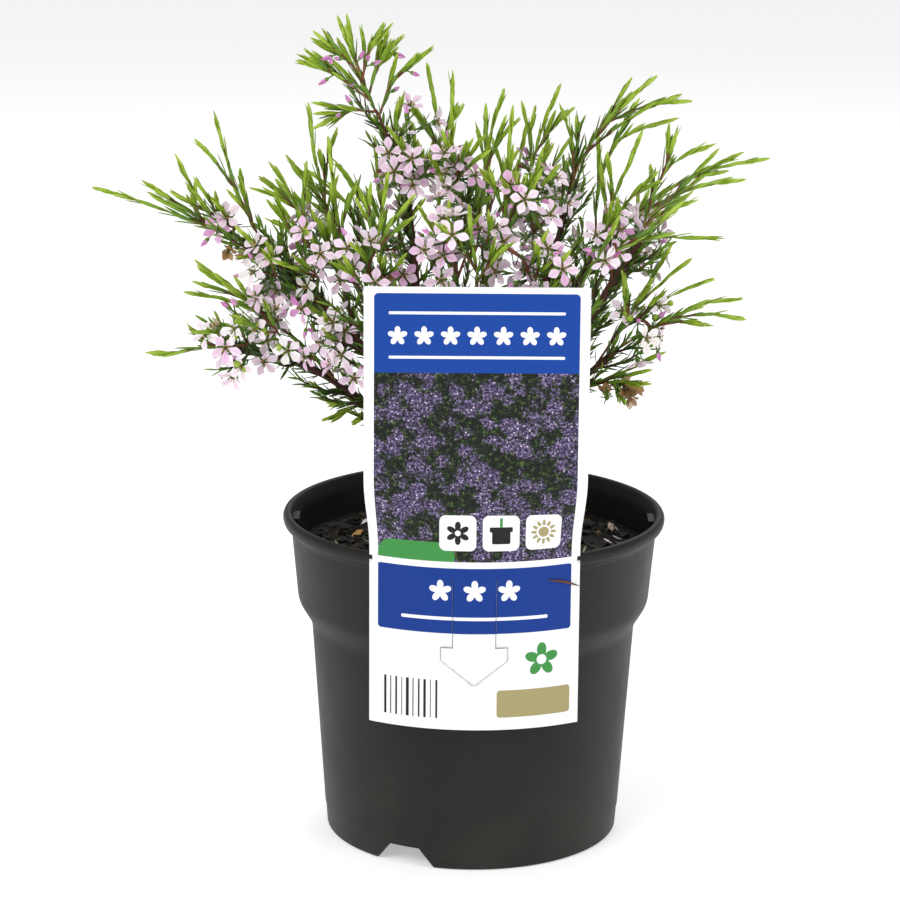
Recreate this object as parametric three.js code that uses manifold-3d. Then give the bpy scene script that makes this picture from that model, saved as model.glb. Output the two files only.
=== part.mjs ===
// Potted pink diosma: a small-leaved flowering shrub in a nursery pot, with its printed pot label.
// Millimetres, +Z up. The origin is the centre of the pot's underside, and the label side faces -Y.

import * as THREE from "three";
import { mergeVertices } from "three/addons/utils/BufferGeometryUtils.js";
import Module from "manifold-3d";

const wasm = await Module();
wasm.setup();

// Pot: one thin-walled injection moulding with a rolled rim, a deep collar and a notched foot.
const POT_HEIGHT = 120;
const RIM_RADIUS = 70;
const BEAD_HEIGHT = 5;
const COLLAR_TOP_RADIUS = 66.8;
const COLLAR_FOOT_RADIUS = 64.3;
const COLLAR_FOOT_Z = 87;
const SHOULDER_Z = 79;
const WALL_TOP_RADIUS = 59.4;
const FOOT_RADIUS = 53.8;
const WALL = 1.4;
const BASE_PLATE_Z = 8.4;
const BASE_PLATE_THICKNESS = 1.6;
const FOOT_WIDTH = 2.2;
const CENTRE_FOOT_RADIUS = 14;
const POT_SIDES = 36;
const NOTCH = { count: 3, firstAngle: -27, widthAtFloor: 25, widthAtTop: 12, height: 7 };
const DRAIN_HOLE = { count: 6, radius: 4, circle: 38, sides: 8 };
const HANGER_RIB = { width: 11, depth: 2.4, height: 6.5, z: 114 };
const HANGER_SLOT = { width: 5, height: 1.8 };

// Potting mix: it fills the pot to a little below the rim, with a lumpy top and a hole for the stem.
const SOIL_LEVEL = 106;
const SOIL_GAP = 0.45;
const SOIL_SIDES = 18;
const STEM_HOLE_RADIUS = 4.1;
const STEM_FOOT_Z = 94;

// Label: one thin sheet, flat above the rim and bent round the collar below it, with a die-cut tongue.
const LABEL_WIDTH = 77;
const LABEL_THICKNESS = 0.6;
const LABEL_TOP = 217;
const LABEL_BOTTOM = 59;
const LABEL_BEND_RADIUS = RIM_RADIUS + 0.3 + LABEL_THICKNESS / 2;
const BEND_START_Z = 150;
const LABEL_ROWS = [LABEL_BOTTOM, 119, 128, 138, BEND_START_Z, LABEL_TOP];
const LABEL_COLUMNS = 8;
const LABEL_NICK = { z: 119, depth: 1.2, height: 1.6 };
const TONGUE = { neck: 7.5, head: 11.8, top: 114, shoulder: 89, headFoot: 84.5, tip: 75.5, slit: 0.8 };

// Plant: its stems, its needles and its five-petalled blooms.
const GAP = 0.3;
const JOIN_TOLERANCE = 0.02;
const TRUNK_RADIUS = 3.4;
const LIMB_RADII = [1.7, 1.0];
const LIMB_END = 0.5;
const SHOOT_RADII = [0.75, 0.55];
const TWIG_RADIUS = 0.85;
const NEEDLE = { length: 9.5, lean: 30, base: 1.3, spacing: 14.5, reach: 0.7, bare: 0.2 };
const OLD_NEEDLE = { length: 7.5, lean: 52, base: 1.3, spacing: 17, reach: 0.7, bare: 0.6 };
const PLAIN_SPACING = 19;
const ROOT_RADIUS = 0.22;
const BLOOM = { radius: 5.8, notch: 1.9, cup: 0.7, calyx: 1.7, calyxRadius: 0.9, stalkRadius: 0.5 };
const CROWN_CENTRE = new THREE.Vector3(-8, 0, 190);

// How often a stem is bent, or a bloom moved, in search of free room, and how far each time.
const STEM_SEARCH = { attempts: 60, step: 0.35 };
const BLOOM_SEARCH = { attempts: 400, step: 0.07 };
const SEAT_SEARCH = { reach: 14, step: 0.05 };
const BAR_LENGTH = 7;

const COLOURS = {
  pot: 0x3c3a3b,
  soil: 0x2a1d17,
  label: 0xf2f2f2,
  wood: 0x5b2f22,
  leaf: 0x6f9a2b,
  bloom: 0xe3bfe0,
};

// The trunk and the woody limbs that fork from it, as points on their centre lines.
const TRUNK = [[-2, 0, STEM_FOOT_Z], [-2, 0, 112], [-2, -1, 134]];
const LIMBS = {
  far_left: [[-3, -1, 126], [-22, -5, 158], [-44, -8, 186], [-63, -6, 207], [-80, -10, 221]],
  low_left: [[-3, -1, 122], [-20, -4, 144], [-41, -6, 162], [-62, -10, 176], [-85, -14, 182]],
  front_left_high: [[-3, -1, 130], [-18, -14, 158], [-38, -24, 184], [-60, -24, 206], [-74, -22, 220]],
  top: [[-2, -1, 128], [-12, -2, 160], [-20, -4, 192], [-23, -6, 222], [-26, -8, 244], [-33, -10, 262]],
  centre: [[-2, 0, 130], [-3, -6, 165], [-7, -8, 200], [-8, -10, 232]],
  right_high: [[-1, 0, 128], [8, -2, 160], [20, -2, 192], [28, -2, 216], [33, -4, 238]],
  right: [[-1, 0, 126], [14, -4, 152], [34, -8, 182], [48, -10, 206], [58, -12, 222]],
  low_right: [[-1, 0, 122], [16, -5, 144], [34, -8, 166], [50, -10, 182]],
  front: [[-2, -2, 128], [-3, -20, 160], [-2, -38, 188], [0, -50, 210]],
  front_left: [[-3, -2, 124], [-14, -20, 152], [-27, -38, 178], [-36, -50, 200]],
  front_right: [[-1, -2, 124], [10, -18, 150], [22, -34, 176], [30, -46, 198]],
  back: [[-2, 1, 126], [0, 20, 158], [3, 38, 186], [4, 52, 212]],
  back_left: [[-3, 1, 124], [-16, 18, 150], [-34, 34, 178], [-50, 46, 204]],
  back_right: [[-1, 1, 124], [14, 18, 150], [34, 34, 178], [50, 46, 202]],
  left_rear: [[-3, 0, 128], [-16, 8, 160], [-32, 14, 190], [-44, 16, 216]],
  right_rear: [[-1, 0, 128], [14, 10, 160], [32, 18, 190], [44, 20, 214]],
  back_low: [[-2, 1, 120], [-2, 22, 136], [-8, 44, 152], [-14, 62, 166]],
};

// Leafy sprays: the limb that carries each, the share of the limb where it starts, the points of its
// main shoot, and its side shoots as a share of the main shoot followed by their tip.
const SPRAYS = [
  ["far_left", "far_left", 1, [[-92, -12, 225], [-116, -12, 234], [-135, -12, 240]],
    [[0.1, -106, -16, 252], [0.3, -100, -4, 240]]],
  ["left_tall", "front_left_high", 1, [[-80, -14, 229], [-87, -8, 244], [-93, -8, 266]],
    [[0.2, -83, -24, 246], [0.45, -100, 0, 255]]],
  ["left_mid", "front_left_high", 0.82, [[-62, -15, 226], [-66, -12, 238], [-73, -12, 249]],
    [[0.35, -60, -18, 250], [0.2, -73, -26, 238]]],
  ["left_upright", "left_rear", 1, [[-52, 8, 226], [-57, 1, 244], [-60, 0, 268]],
    [[0.4, -50, -4, 260], [0.3, -68, 8, 248], [0.25, -62, -10, 246]]],
  ["left_inner", "front_left_high", 0.62, [[-49, -26, 218], [-50, -26, 240], [-52, -26, 260]],
    [[0.4, -42, -32, 246], [0.25, -57, -36, 236]]],
  ["left_rear", "left_rear", 0.8, [[-34, 23, 218], [-36, 24, 238], [-37, 22, 253]],
    [[0.3, -52, 28, 244], [0.2, -62, 32, 240]]],
  ["low_left_tip", "low_left", 1, [[-96, -14, 183], [-107, -14, 181], [-117, -14, 181]],
    [[0.2, -101, -22, 192]]],
  ["low_left", "low_left", 0.62, [[-68, -17, 190], [-85, -15, 199], [-103, -14, 203]],
    [[0.4, -92, -26, 212], [0.5, -100, -4, 212]]],
  ["low_left_tuft", "low_left", 0.36, [[-38, 4, 158], [-46, 5, 158], [-56, 4, 160]],
    [[0.3, -44, 9, 149], [0.5, -51, -2, 153]]],
  ["top", "top", 1, [[-38, -10, 272], [-43, -10, 285], [-49, -10, 300]],
    [[0.1, -17, -14, 290], [0.25, -63, -10, 285], [0.15, -57, -12, 262], [0.45, -33, -8, 297],
      [0.5, -58, -5, 292], [0.3, -27, -2, 293]]],
  ["upper_left", "centre", 1, [[-11, -8, 246], [-14, -5, 264], [-18, -4, 283]],
    [[0.35, -24, 2, 267], [0.45, -5, -2, 268]]],
  ["upper_front", "centre", 0.86, [[-9, -20, 240], [-9, -24, 262], [-9, -24, 283]],
    [[0.35, 2, -30, 262], [0.3, -17, -34, 256]]],
  ["upper_mid", "centre", 0.74, [[1, -9, 232], [4, -10, 256], [9, -10, 275]],
    [[0.5, 3, 2, 268], [0.6, 14, -16, 266]]],
  ["upper_front_right", "front", 0.9, [[8, -42, 226], [10, -33, 248], [12, -30, 272]],
    [[0.4, 21, -38, 252], [0.5, 1, -42, 252]]],
  ["upper_right", "right_high", 0.8, [[20, 6, 232], [21, 5, 252], [29, 4, 275]],
    [[0.5, 16, 8, 268], [0.6, 34, 10, 266]]],
  ["right_tall", "right_high", 1, [[37, -5, 250], [47, -8, 266], [62, -8, 280]],
    [[0.1, 29, -16, 271], [0.15, 35, 0, 264], [0.35, 54, 0, 278], [0.3, 70, -16, 275], [0.55, 75, -2, 271]]],
  ["right_rear_tall", "right_rear", 1, [[44, 16, 234], [51, 12, 254], [71, 10, 263]],
    [[0.5, 58, 18, 268], [0.3, 44, 24, 254]]],
  ["right_front_tall", "right", 0.84, [[47, -22, 234], [52, -25, 250], [57, -25, 263]],
    [[0.35, 62, -32, 250], [0.5, 45, -30, 256]]],
  ["right_long", "right", 1, [[62, -13, 238], [69, -12, 250], [83, -12, 257]],
    [[0.1, 76, -2, 240], [0.2, 95, -2, 243], [0.3, 60, -30, 252], [0.5, 70, -14, 263]]],
  ["right_longest", "right_rear", 0.86, [[58, 10, 228], [79, 8, 243], [104, 8, 249]],
    [[0.4, 92, 18, 240], [0.55, 94, 0, 252], [0.3, 70, 22, 236]]],
  ["right_front_low", "front_right", 1, [[40, -46, 219], [58, -46, 229], [84, -46, 230]],
    [[0.3, 48, -54, 238], [0.5, 70, -42, 241]]],
  ["right_middle", "low_right", 0.86, [[56, -6, 195], [67, -8, 207], [76, -10, 215]],
    [[0.3, 85, 2, 206], [0.4, 70, 2, 218], [0.2, 62, -20, 210]]],
  ["right_low", "low_right", 1, [[61, -18, 191], [78, -22, 201], [93, -24, 204]],
    [[0.25, 84, -8, 200], [0.5, 95, -16, 195], [0.4, 80, -32, 196]]],
  ["right_lowest", "low_right", 0.7, [[49, -13, 173], [58, -15, 178], [67, -14, 182]],
    [[0.3, 59, -24, 172], [0.4, 52, -5, 162]]],
  ["back", "back", 1, [[5, 58, 226], [3, 62, 240], [0, 64, 252]],
    [[0.2, 16, 68, 242], [0.3, -12, 68, 242], [0.1, 26, 62, 230]]],
  ["back_left", "back_left", 1, [[-58, 52, 213], [-70, 57, 223], [-84, 60, 228]],
    [[0.2, -52, 62, 232], [0.3, -64, 68, 226], [0.5, -80, 48, 234]]],
  ["back_right", "back_right", 1, [[58, 51, 211], [70, 55, 220], [83, 58, 225]],
    [[0.2, 50, 60, 230], [0.3, 64, 66, 224], [0.5, 80, 46, 230]]],
  ["back_low", "back_low", 1, [[-17, 70, 172], [-21, 80, 176], [-25, 90, 178]],
    [[0.3, -8, 82, 184], [0.4, -32, 78, 186]]],
  ["centre_rear", "back", 0.7, [[10, 36, 210], [14, 34, 232], [18, 32, 256]],
    [[0.4, 28, 40, 248], [0.5, 6, 42, 250]]],
  ["front_left", "front_left", 1, [[-38, -48, 216], [-34, -42, 232], [-31, -38, 250]],
    [[0.2, -50, -56, 222], [0.4, -22, -48, 244], [0.5, -42, -38, 246]]],
  ["front", "front", 1, [[0, -55, 219], [-2, -58, 230], [-3, -58, 242]],
    [[0.2, 12, -60, 230], [0.3, -14, -58, 236]]],
];

// Bunches of blooms: a middle depth, and each bloom as its x and z. Those behind are placed by rule.
const FRONT_BUNCHES = [
  ["top", -16, [[-29, 258], [-23, 253], [-29, 248], [-22, 245], [-28, 266]]],
  ["upper_centre", -30, [[-4, 252], [-10, 244], [-1, 248], [-12, 256]]],
  ["centre", -50, [[-12, 237], [-13, 228], [-19, 225], [-11, 224], [-16, 216], [-4, 234]]],
  ["centre_right", -50, [[2, 234], [-4, 231], [6, 239], [6, 225], [8, 219]]],
  ["upper_right", -36, [[16, 243], [15, 238], [25, 236], [27, 248], [12, 248]]],
  ["front_right", -54, [[16, 219], [29, 221], [12, 211], [21, 212], [24, 228]]],
  ["right_high", -36, [[44, 223], [47, 235], [49, 231], [52, 236], [41, 230]]],
  ["front_left", -46, [[-36, 214], [-40, 219], [-47, 220], [-43, 225], [-32, 220], [-29, 211]]],
  ["left_mid", -28, [[-78, 214], [-69, 207], [-77, 223], [-72, 220], [-77, 205]]],
  ["left_outer", -18, [[-95, 222], [-89, 231], [-92, 226]]],
  ["left_inner", -34, [[-58, 210], [-55, 216], [-62, 203], [-60, 230]]],
  ["low_front_left", -38, [[-61, 183], [-50, 198], [-46, 194], [-47, 186], [-45, 180], [-54, 189]]],
  ["low_left", -22, [[-91, 183], [-83, 179], [-96, 190], [-86, 187], [-74, 188]]],
  ["left_lower", -34, [[-77, 195], [-86, 197], [-70, 196], [-66, 187]]],
  ["low_right", -20, [[52, 198], [60, 190], [65, 199]]],
];
const BACK_BUNCHES = [
  ["back_centre", [-6, 54, 222], 6],
  ["back_mid_right", [24, 52, 214], 6],
  ["back_mid_left", [-30, 50, 210], 6],
  ["back_outer_left", [-62, 40, 208], 6],
  ["back_outer_right", [60, 38, 212], 6],
  ["rear_high_left", [-22, 22, 240], 6],
  ["rear_high_right", [24, 24, 238], 6],
  ["rear_low_left", [-30, 50, 184], 6],
  ["rear_low_right", [26, 44, 188], 6],
  ["side_left", [-72, 14, 200], 5],
];

function toVector([x, y, z]) {
  return new THREE.Vector3(x, y, z);
}

// A repeatable draw from 0 to 1, made from three whole numbers.
function draw(a, b, c = 0) {
  let h = Math.imul(a + 11, 374761393) ^ Math.imul(b + 7, 668265263) ^ Math.imul(c + 3, 1442695041);
  h = Math.imul(h ^ (h >>> 13), 1274126177);
  h = Math.imul(h ^ (h >>> 16), 1911520717);
  return ((h ^ (h >>> 15)) >>> 0) / 4294967296;
}

// Closed meshes and solids.

function meshVolume(positions, triangles) {
  let sum = 0;
  for (let i = 0; i < triangles.length; i += 3) {
    const [a, b, c] = [0, 1, 2].map((n) => {
      const at = 3 * triangles[i + n];
      return new THREE.Vector3(positions[at], positions[at + 1], positions[at + 2]);
    });
    sum += a.dot(b.cross(c)) / 6;
  }
  return sum;
}

function toSolid(geometry) {
  const plain = geometry.clone();
  plain.deleteAttribute("normal");
  plain.deleteAttribute("uv");
  const merged = mergeVertices(plain, 1e-4);
  const positions = Float32Array.from(merged.attributes.position.array);
  const triangles = Array.from(merged.index.array);
  const kept = [];
  for (let i = 0; i < triangles.length; i += 3) {
    const [a, b, c] = triangles.slice(i, i + 3);
    if (a !== b && b !== c && c !== a) {
      kept.push(a, b, c);
    }
  }
  if (meshVolume(positions, kept) < 0) {
    kept.reverse();
  }
  const mesh = new wasm.Mesh({ numProp: 3, vertProperties: positions, triVerts: Uint32Array.from(kept) });
  mesh.merge();
  return new wasm.Manifold(mesh);
}

function solidOf(points, triangles) {
  const geometry = new THREE.BufferGeometry();
  const numbers = points.flatMap((point) => point.toArray());
  geometry.setAttribute("position", new THREE.Float32BufferAttribute(numbers, 3));
  geometry.setIndex(triangles);
  return toSolid(geometry);
}

function fromSolid(solid) {
  const mesh = solid.getMesh();
  const geometry = new THREE.BufferGeometry();
  geometry.setAttribute("position", new THREE.BufferAttribute(Float32Array.from(mesh.vertProperties), 3));
  geometry.setIndex(Array.from(mesh.triVerts));
  geometry.computeVertexNormals();
  return geometry;
}

// One body from several: a hollow that the joins seal is filled, and a loose scrap is dropped.
// Slivers finer than the tolerance, which the joins leave, are cleaned off.
function joined(solids) {
  let whole = solids[0];
  for (const solid of solids.slice(1)) {
    whole = whole.add(solid);
  }
  const bodies = whole.simplify(JOIN_TOLERANCE).decompose();
  return bodies.reduce((best, body) => (body.volume() > best.volume() ? body : best));
}

// Whether each edge of a body still has two faces once points as near as 0.001 mm merge.
function isSound(solid) {
  const geometry = fromSolid(solid);
  geometry.deleteAttribute("normal");
  const index = mergeVertices(geometry, 0.001).index.array;
  const faces = new Map();
  for (let i = 0; i < index.length; i += 3) {
    const corners = [index[i], index[i + 1], index[i + 2]];
    if (new Set(corners).size === 3) {
      corners.forEach((a, n) => {
        const b = corners[(n + 1) % 3];
        const edge = `${Math.min(a, b)} ${Math.max(a, b)}`;
        faces.set(edge, (faces.get(edge) ?? 0) + 1);
      });
    }
  }
  return [...faces.values()].every((count) => count === 2);
}

// Builds a body with one small variation after another until its joins come out sound.
function soundBody(build) {
  let variation = 0;
  let body = build(variation);
  while (!isSound(body) && variation < 20) {
    variation += 1;
    body = build(variation);
  }
  return body;
}

function namedMesh(name, solid, color, roughness) {
  const material = new THREE.MeshStandardMaterial({ color, roughness, metalness: 0 });
  const mesh = new THREE.Mesh(fromSolid(solid), material);
  mesh.name = name;
  return mesh;
}

// A solid of revolution about Z from points of radius and height; its first meridian faces -Y.
function turned(points, sides) {
  const profile = points.map(([radius, z]) => new THREE.Vector2(radius, z));
  return new THREE.LatheGeometry(profile, sides).rotateX(Math.PI / 2);
}

function boxAt(width, depth, height, x, y, z, angle = 0) {
  const box = new THREE.BoxGeometry(width, depth, height);
  return toSolid(box.translate(x, y, z).rotateZ(angle));
}

// Pot.

function innerWall() {
  const rise = BASE_PLATE_Z + BASE_PLATE_THICKNESS;
  return [
    [FOOT_RADIUS - WALL + 0.6, rise],
    [WALL_TOP_RADIUS - WALL, SHOULDER_Z + 1],
    [COLLAR_FOOT_RADIUS - WALL, COLLAR_FOOT_Z + 1],
    [COLLAR_TOP_RADIUS - WALL, POT_HEIGHT - BEAD_HEIGHT],
  ];
}

function potProfile() {
  const skirt = FOOT_RADIUS - FOOT_WIDTH;
  const beadFoot = POT_HEIGHT - BEAD_HEIGHT;
  return [
    [0, 0],
    [CENTRE_FOOT_RADIUS, 0],
    [CENTRE_FOOT_RADIUS + 1.5, BASE_PLATE_Z],
    [skirt - 0.6, BASE_PLATE_Z],
    [skirt, 0],
    [FOOT_RADIUS, 0],
    [WALL_TOP_RADIUS, SHOULDER_Z],
    [COLLAR_FOOT_RADIUS, COLLAR_FOOT_Z],
    [COLLAR_TOP_RADIUS, beadFoot - 0.5],
    [RIM_RADIUS - 0.8, beadFoot],
    [RIM_RADIUS, POT_HEIGHT - 1.2],
    [RIM_RADIUS - 1.1, POT_HEIGHT],
    [RIM_RADIUS - 3.2, POT_HEIGHT],
    ...innerWall().reverse(),
    [0, BASE_PLATE_Z + BASE_PLATE_THICKNESS],
  ];
}

function notchCutter(angle) {
  const outline = new THREE.Shape([
    new THREE.Vector2(-NOTCH.widthAtFloor / 2, -1),
    new THREE.Vector2(NOTCH.widthAtFloor / 2, -1),
    new THREE.Vector2(NOTCH.widthAtTop / 2, NOTCH.height),
    new THREE.Vector2(-NOTCH.widthAtTop / 2, NOTCH.height),
  ]);
  const depth = 14;
  const prism = new THREE.ExtrudeGeometry(outline, { depth, bevelEnabled: false });
  prism.rotateX(Math.PI / 2).translate(0, -FOOT_RADIUS + depth - 4, 0).rotateZ(angle);
  return toSolid(prism);
}

function makePot() {
  let pot = toSolid(turned(potProfile(), POT_SIDES));
  for (let i = 0; i < NOTCH.count; i += 1) {
    const angle = THREE.MathUtils.degToRad(NOTCH.firstAngle) + (2 * Math.PI * i) / NOTCH.count;
    pot = pot.subtract(notchCutter(angle));
  }
  const { count, radius, circle, sides } = DRAIN_HOLE;
  for (let i = 0; i < count; i += 1) {
    const drill = new THREE.CylinderGeometry(radius, radius, 4 * BASE_PLATE_THICKNESS, sides);
    drill.rotateX(Math.PI / 2).translate(0, circle, BASE_PLATE_Z).rotateZ((2 * Math.PI * i) / count);
    pot = pot.subtract(toSolid(drill));
  }
  for (const side of [-1, 1]) {
    const { width, depth, height, z } = HANGER_RIB;
    const x = side * (COLLAR_TOP_RADIUS - WALL - 0.4);
    pot = pot.add(boxAt(depth, width, height, x, 0, z));
    pot = pot.subtract(boxAt(4 * depth, HANGER_SLOT.width, HANGER_SLOT.height, x, 0, z - 1));
  }
  return namedMesh("pot", pot, COLOURS.pot, 0.42);
}

// Potting mix.

function soilLumps(x, y) {
  const broad = 1.3 * Math.sin(0.13 * x + 1.3) * Math.cos(0.11 * y + 0.4);
  const fine = 0.9 * Math.sin(0.37 * x - 0.29 * y) + 0.7 * Math.cos(0.31 * x + 0.43 * y + 2);
  return broad + fine;
}

function wallRadius(z) {
  const wall = innerWall();
  const above = Math.max(1, wall.findIndex(([, height]) => height >= z));
  const [r0, z0] = wall[above - 1];
  const [r1, z1] = wall[above];
  return r0 + ((r1 - r0) * (z - z0)) / (z1 - z0);
}

function makeSoil() {
  const floor = BASE_PLATE_Z + BASE_PLATE_THICKNESS + GAP;
  const edge = wallRadius(SOIL_LEVEL) - SOIL_GAP;
  const profile = [[0, floor], [wallRadius(floor) - SOIL_GAP, floor]];
  for (const z of [SHOULDER_Z, COLLAR_FOOT_Z + 2]) {
    profile.push([wallRadius(z) - SOIL_GAP - 0.3, z]);
  }
  for (const share of [1, 0.88, 0.7, 0.5, 0.3, 0]) {
    profile.push([edge * share, SOIL_LEVEL]);
  }
  const geometry = turned(profile, SOIL_SIDES);
  const place = geometry.attributes.position;
  for (let i = 0; i < place.count; i += 1) {
    if (place.getZ(i) > SOIL_LEVEL - 0.01) {
      const [x, y] = [place.getX(i), place.getY(i)];
      place.setZ(i, SOIL_LEVEL + soilLumps(x, y) * (Math.hypot(x, y) > edge - 1 ? 0.3 : 1));
    }
  }
  const hole = new THREE.CylinderGeometry(STEM_HOLE_RADIUS, STEM_HOLE_RADIUS, 40, 10);
  hole.rotateX(Math.PI / 2).translate(TRUNK[0][0], TRUNK[0][1], STEM_FOOT_Z - GAP + 20);
  return namedMesh("soil", toSolid(geometry).subtract(toSolid(hole)), COLOURS.soil, 0.95);
}

// Label.

function bentLabelPoint(across, z, proud = 0) {
  const ease = THREE.MathUtils.smoothstep(BEND_START_Z - z, 0, 28);
  const angle = across / LABEL_BEND_RADIUS;
  const radius = LABEL_BEND_RADIUS + proud;
  const flat = new THREE.Vector3(across, -radius, z);
  const bent = new THREE.Vector3(radius * Math.sin(angle), -radius * Math.cos(angle), z);
  return flat.lerp(bent, ease);
}

function slitOutline() {
  const { neck, head, top, shoulder, headFoot, tip, slit } = TONGUE;
  const line = [[neck, top], [neck, shoulder], [head, shoulder], [head, headFoot], [0, tip]];
  const inner = line.map(([x, z], i) => {
    if (i === 1) {
      return [x - slit, z - slit];
    }
    if (i === 4) {
      return [0, z + 1.3 * slit];
    }
    return i === 0 ? [x - slit, z] : [x - slit, z + (i === 2 ? -slit : 0.4 * slit)];
  });
  const outerRight = line.map(([x, z]) => new THREE.Vector2(x, z));
  const innerRight = inner.map(([x, z]) => new THREE.Vector2(x, z));
  const outerLeft = line.slice(0, -1).map(([x, z]) => new THREE.Vector2(-x, z));
  const innerLeft = inner.slice(0, -1).map(([x, z]) => new THREE.Vector2(-x, z));
  return [...outerRight, ...outerLeft.reverse(), ...innerLeft, ...innerRight.reverse()];
}

function makeLabel() {
  const rows = LABEL_ROWS.length - 1;
  const height = LABEL_TOP - LABEL_BOTTOM;
  const sheet = new THREE.BoxGeometry(LABEL_WIDTH, LABEL_THICKNESS, height, LABEL_COLUMNS, 1, rows);
  const place = sheet.attributes.position;
  for (let i = 0; i < place.count; i += 1) {
    const row = Math.round((place.getZ(i) / height + 0.5) * rows);
    const point = bentLabelPoint(place.getX(i), LABEL_ROWS[row], -place.getY(i));
    place.setXYZ(i, point.x, point.y, point.z);
  }
  const slit = new THREE.ExtrudeGeometry(new THREE.Shape(slitOutline()), { depth: 10, bevelEnabled: false });
  slit.rotateX(Math.PI / 2).translate(0, -LABEL_BEND_RADIUS + 5, 0);
  let label = toSolid(sheet).subtract(toSolid(slit));
  for (const side of [-1, 1]) {
    const { x, y } = bentLabelPoint((side * LABEL_WIDTH) / 2, LABEL_NICK.z);
    label = label.subtract(boxAt(2 * LABEL_NICK.depth, 8, LABEL_NICK.height, x, y, LABEL_NICK.z));
  }
  return namedMesh("plant_label", label, COLOURS.label, 0.5);
}

// Centre lines.

function tracePath(stations) {
  const curve = new THREE.CatmullRomCurve3(stations, false, "catmullrom", 0.5);
  const points = curve.getPoints(16 * (stations.length - 1));
  const along = [0];
  for (let i = 1; i < points.length; i += 1) {
    along.push(along[i - 1] + points[i].distanceTo(points[i - 1]));
  }
  return { points, along, length: along.at(-1) };
}

function placeOn(path, distance) {
  const last = path.points.length - 2;
  const found = path.along.findIndex((value) => value > distance) - 1;
  const i = found < 0 ? last : Math.min(found, last);
  const share = (distance - path.along[i]) / (path.along[i + 1] - path.along[i]);
  const heading = path.points[i + 1].clone().sub(path.points[i]).normalize();
  return { point: path.points[i].clone().lerp(path.points[i + 1], share), heading };
}

// Two directions that lie square to each other and to a third.
function planeOf(facing) {
  const guide = Math.abs(facing.z) > 0.9 ? new THREE.Vector3(1, 0, 0) : new THREE.Vector3(0, 0, 1);
  const right = new THREE.Vector3().crossVectors(guide, facing).normalize();
  return { right, up: new THREE.Vector3().crossVectors(facing, right) };
}

// Keeping the pieces clear of each other: every stem, needle and petal is known as a round bar.

const bars = [];

function addBar(owner, a, b, radius, stem = null) {
  const middle = a.clone().add(b).multiplyScalar(0.5);
  bars.push({ owner, kin: owner.split("/")[0], a, b, radius, middle, half: a.distanceTo(b) / 2, stem });
}

// The shortest distance between two straight bars' centre lines.
function barDistance(a, b, c, d) {
  const u = b.clone().sub(a);
  const v = d.clone().sub(c);
  const w = a.clone().sub(c);
  const [uu, uv, vv, uw, vw] = [u.dot(u), u.dot(v), v.dot(v), u.dot(w), v.dot(w)];
  const cross = uu * vv - uv * uv;
  let s = cross > 1e-9 ? THREE.MathUtils.clamp((uv * vw - vv * uw) / cross, 0, 1) : 0;
  const t = vv > 1e-9 ? THREE.MathUtils.clamp((uv * s + vw) / vv, 0, 1) : 0;
  s = uu > 1e-9 ? THREE.MathUtils.clamp((uv * t - uw) / uu, 0, 1) : 0;
  return w.addScaledVector(u, s).addScaledVector(v, -t).length();
}

function isClear(owner, a, b, radius, except = () => false) {
  const labelBack = -LABEL_BEND_RADIUS + LABEL_THICKNESS + 1.2 + radius;
  if (Math.min(a.y, b.y) < labelBack) {
    return false;
  }
  const middle = a.clone().add(b).multiplyScalar(0.5);
  const half = a.distanceTo(b) / 2;
  const kin = owner.split("/")[0];
  return bars.every((bar) => {
    if (bar.owner === owner || except(bar)) {
      return true;
    }
    const room = bar.kin === kin ? 0.5 * (bar.radius + radius) : bar.radius + radius + GAP;
    return bar.middle.distanceTo(middle) > bar.half + half + room || barDistance(a, b, bar.a, bar.b) > room;
  });
}

function pathBars(path, from, radius) {
  const count = Math.max(2, Math.ceil((path.length - from) / BAR_LENGTH));
  const cuts = Array.from({ length: count + 1 }, (_, i) => from + ((path.length - from) * i) / count);
  const points = cuts.map((cut) => placeOn(path, cut).point);
  return points.slice(1).map((point, i) => [points[i], point, radius]);
}

// Whether a bar is the carrier that a stem's foot stands on.
function holds(bar, foot) {
  return barDistance(foot, foot, bar.a, bar.b) < bar.radius + 3;
}

// Moves the inner points of a centre line, and a little its tip, until the stem is clear of the rest.
function bentClear(owner, stations, radius, startOf, seed) {
  for (let attempt = 0; attempt < STEM_SEARCH.attempts; attempt += 1) {
    const reach = STEM_SEARCH.step * attempt;
    const moved = stations.map((station, i) => {
      const share = i === 0 ? 0 : i === stations.length - 1 ? 0.6 : 1;
      const offset = [0, 1, 2].map((n) => (draw(seed, 10 * attempt + i, n) - 0.5) * reach * share);
      return station.clone().add(new THREE.Vector3(offset[0], 1.5 * offset[1], offset[2]));
    });
    const path = tracePath(moved);
    const from = startOf(path);
    const pieces = pathBars(path, from, radius);
    const atFoot = (bar) => holds(bar, stations[0]);
    const clear = pieces.every(([a, b, r], i) => isClear(owner, a, b, r, i === 0 ? atFoot : undefined));
    if (from < path.length - 3 && clear) {
      const stem = { path, from };
      pieces.forEach(([a, b, r]) => addBar(owner, a, b, r, stem));
      return stem;
    }
  }
  return null;
}

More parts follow.
